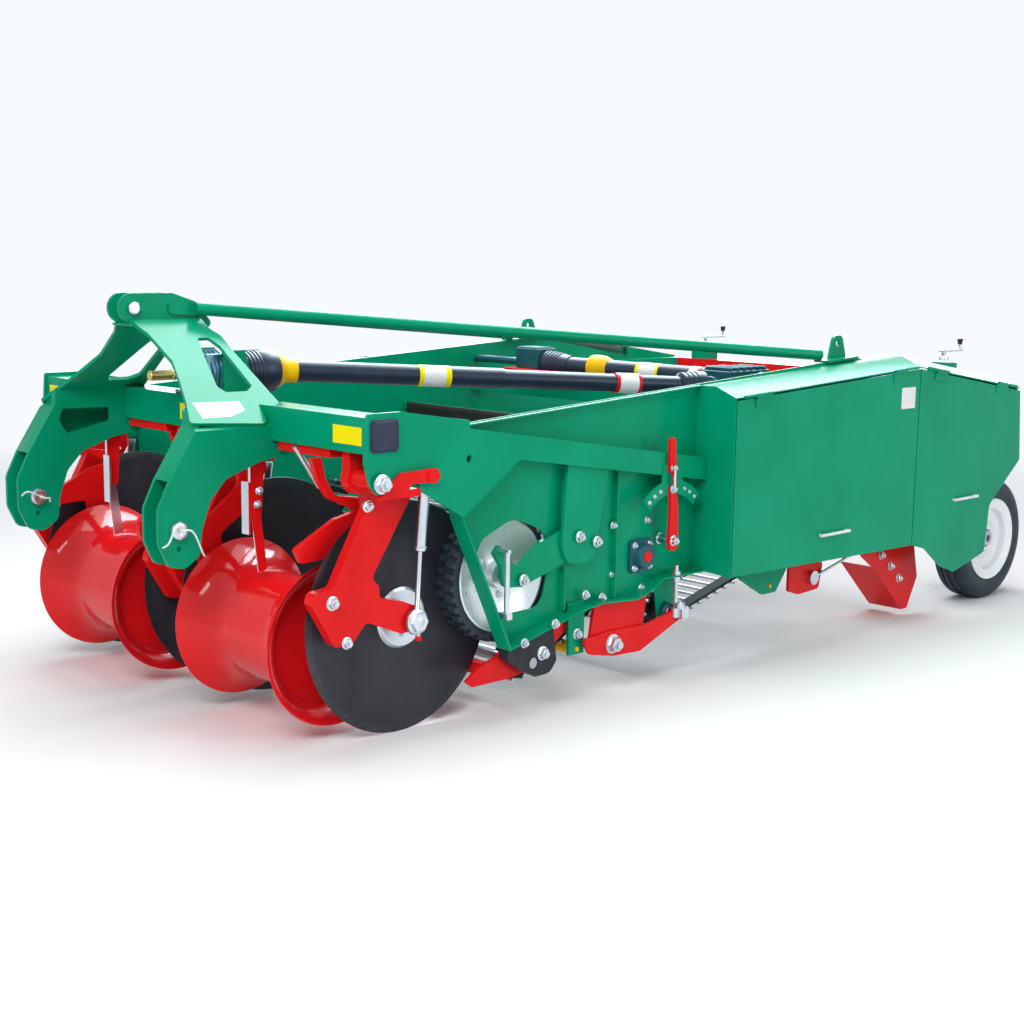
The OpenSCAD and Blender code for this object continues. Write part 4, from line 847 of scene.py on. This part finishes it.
lever = cut_plate("control_levers", "frame", red)
repaint(lever, green, lambda c: 0.9595 < abs(c.x) < 0.9665 or (abs(c.x) <= 0.9595 and c.z > 0.55))
repaint(lever, zinc, lambda c: abs(c.x) < 0.9595 and c.z <= 0.55)
fittings = bmesh.new()
for way in (1, -1):
    for y, z in ((1.709, 0.515), (1.697, 0.775), (1.698, 0.700)):
        bolt(fittings, spot(way * 0.978, y, z), (way, 0, 0), 0.020 if z > 0.6 else 0.026)
    sweep(fittings, [spot(way * 0.985, 1.698, 0.690), spot(way * 0.985, 1.697, 0.785)], 0.006, 12)
    block(fittings, spot(way * 0.962 - 0.015, 1.771, 0.220), spot(way * 0.962 + 0.015, 1.808, 0.262))
    lathe(fittings, spot(way * 0.962, 1.775, 0.258), (0, 0, 1), [(0, 0.018), (0.020, 0.018),
                                                                 (0.024, 0.013)], 20)
    for k in range(9):
        a = radians(50 + 10 * k)
        if abs(a - pi / 2) > 0.25:
            bolt(fittings, spot(way * 0.966, 1.709 + 0.190 * cos(a), 0.515 + 0.190 * sin(a)), (way, 0, 0),
                 0.010)
add_piece("lever_fittings", fittings, zinc, "frame")

# ---- Rubber curtain over the rear web's start ----
# A black rubber sheet bolted along a cross bar. It hangs free and keeps stones from flying out.

low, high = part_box("rubber_curtain")
columns, rows = 90, 14
top_gap = 0.002
shape = bmesh.new()
bmesh.ops.create_grid(shape, x_segments=columns, y_segments=rows, size=0.5)
for vert in shape.verts:
    across, up = vert.co.x + 0.5, vert.co.y + 0.5
    i = across * columns
    vert.co = (low.x + (high.x - low.x) * across,
               (low.y + high.y) / 2 + 0.0035 * sin(i * 0.42) * max(1 - up, 0) ** 1.2,
               low.z + 0.004 * (1 + sin(i * 0.23)) * (1 - up) + (high.z - low.z - top_gap) * up)
curtain = add_piece("rubber_curtain_sheet", shape, belt_rubber, "frame", ["rubber_curtain"], 0,
                    60)
skin_depth = curtain.modifiers.new("thickness", "SOLIDIFY")
skin_depth.thickness, skin_depth.offset = 0.004, 0

# ---- Rear legs and height cranks ----
# Square plated inner legs slide in the frame's sleeves. A light metal crank with a black knob turns the
# spindle on top of each sleeve.

for side, way in SIDES:
    cut_plate(f"rear_leg_{side}", f"rear_leg_{side}", rod_steel, 0.003)
crank_metal = finish("crank_plating", (0.62, 0.70, 0.74), (0.48, 0.56, 0.62), (0.20, 0.34), 16, metal=0.9)
cranks, knobs = bmesh.new(), bmesh.new()
low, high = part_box("height_cranks")
crank_x, crank_reach = 0.694, 0.149
for way in (1, -1):
    foot = Vector((way * crank_x, high.y - crank_reach, low.z))
    lathe(cranks, foot, (0, 0, 1), [(0, 0.052), (0.006, 0.052), (0.008, 0.050)], 40)
    lathe(cranks, foot, (0, 0, 1), [(0.007, 0.026), (0.026, 0.025), (0.030, 0.022)], 32)
    lathe(cranks, foot, (0, 0, 1), [(0.025, 0.012), (0.058, 0.012), (0.060, 0.010)], 20)
    block(cranks, foot + Vector((-0.012, -0.020, 0.047)), foot + Vector((0.012, 0.152, 0.057)))
    lathe(cranks, foot + Vector((0, 0.140, 0.056)), (0, 0, 1), [(0, 0.008), (0.030, 0.008)], 16)
    lathe(knobs, foot + Vector((0, 0.140, 0.078)), (0, 0, 1), [(0, 0.008), (0.002, 0.010), (0.018, 0.013),
                                                               (0.025, 0.0135), (0.0275, 0.011),
                                                               (0.028, 0)], 24)
add_piece("height_cranks_forged", cranks, crank_metal, "frame", ["height_cranks"], 0.002)
add_piece("crank_knobs", knobs, black_plastic, "frame")

# ---- Rear wheels ----
# Pressed white steel rims with a bolted centre, and pneumatic tyres with grooved ribs and shoulder blocks.

rim_white = finish("rim_enamel", (0.90, 0.92, 0.94), (0.84, 0.86, 0.89), (0.20, 0.32), 6, bump=0.03,
                   shine=0.3)
for side, way in SIDES:
    body = f"rear_wheel_{side}"
    low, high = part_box(f"rear_tyre_{side}")
    hub = (low + high) / 2
    radius, t = (high.z - low.z) / 2, (high.x - low.x) / 2
    f = (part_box(f"rear_rim_{side}")[1].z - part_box(f"rear_rim_{side}")[0].z) / 2
    wall = f + (radius - f) * 0.5
    shape = bmesh.new()
    half_tyre = [(0.0, radius - 0.006), (0.009, radius - 0.006), (0.010, radius), (0.028, radius - 0.001),
                 (0.029, radius - 0.008), (0.034, radius - 0.008), (0.035, radius - 0.001),
                 (t - 0.022, radius - 0.003), (t - 0.012, radius - 0.009), (t - 0.006, radius - 0.020),
                 (t - 0.001, wall + 0.012), (t, wall), (t - 0.001, wall - 0.010),
                 (t - 0.003, wall - 0.013), (t - 0.004, wall - 0.022), (t - 0.009, f + 0.004),
                 (t - 0.014, f - 0.010), (t - 0.024, f - 0.028)]
    lathe(shape, hub, (way, 0, 0), [(-x, r) for x, r in reversed(half_tyre[1:])] + half_tyre, 128,
          ring=True)
    for out in (1, -1):
        lugs(shape, hub, out * way, 60, [(t - 0.031, radius - 0.006, radius - 0.0008, 0.0),
                                         (t - 0.018, radius - 0.010, radius - 0.0045, 0.02)], 0.007)
    add_piece(f"rear_tyre_{side}_tread", shape, tyre_rubber, body, [f"rear_tyre_{side}"], 0, 25)
    shape = bmesh.new()
    lathe(shape, hub, (way, 0, 0), [(-0.035, 0.0225), (-0.035, 0.048), (0.006, 0.048), (0.008, 0.054),
                                    (0.010, 0.080), (0.020, 0.094), (0.022, f - 0.060),
                                    (0.018, f - 0.046), (0.009 - t, f - 0.043), (0.004 - t, f - 0.018),
                                    (0.001 - t, f - 0.014), (0.001 - t, f - 0.002), (0.004 - t, f),
                                    (0.009 - t, f), (0.013 - t, f - 0.011), (0.025 - t, f - 0.033),
                                    (t - 0.025, f - 0.033), (t - 0.013, f - 0.011), (t - 0.009, f),
                                    (t - 0.004, f), (t - 0.001, f - 0.002), (t - 0.001, f - 0.014),
                                    (t - 0.004, f - 0.018), (t - 0.015, f - 0.043), (0.034, f - 0.046),
                                    (0.030, f - 0.062), (0.028, 0.098), (0.018, 0.084), (0.016, 0.056),
                                    (0.020, 0.049), (0.033, 0.048), (0.035, 0.046), (0.035, 0.0225)], 96,
          ring=True)
    add_piece(f"rear_rim_{side}_pressed", shape, rim_white, body, [f"rear_rim_{side}"], 0,
              25)
    shape = bmesh.new()
    for k in range(6):
        a = tau * k / 6
        bolt(shape, hub + Vector((way * 0.016, cos(a) * 0.068, sin(a) * 0.068)), (way, 0, 0), 0.019)
    add_piece(f"rear_rim_{side}_nuts", shape, zinc, body)
    shape = bmesh.new()
    lathe(shape, hub, (way, 0, 0), [(0.034, 0.034), (0.040, 0.040), (0.050, 0.039), (0.0545, 0.033),
                                    (0.0555, 0)], 36)
    add_piece(f"rear_hub_{side}_cap", shape, black_plastic, body)

# ---- What is left of the frame's own nodes keeps a plain plated finish ----

for name, node in frame["nodes"].items():
    if not node.data.materials or node.data.materials[0] is None:
        node.data.materials.append(zinc)

bpy.context.view_layer.update()
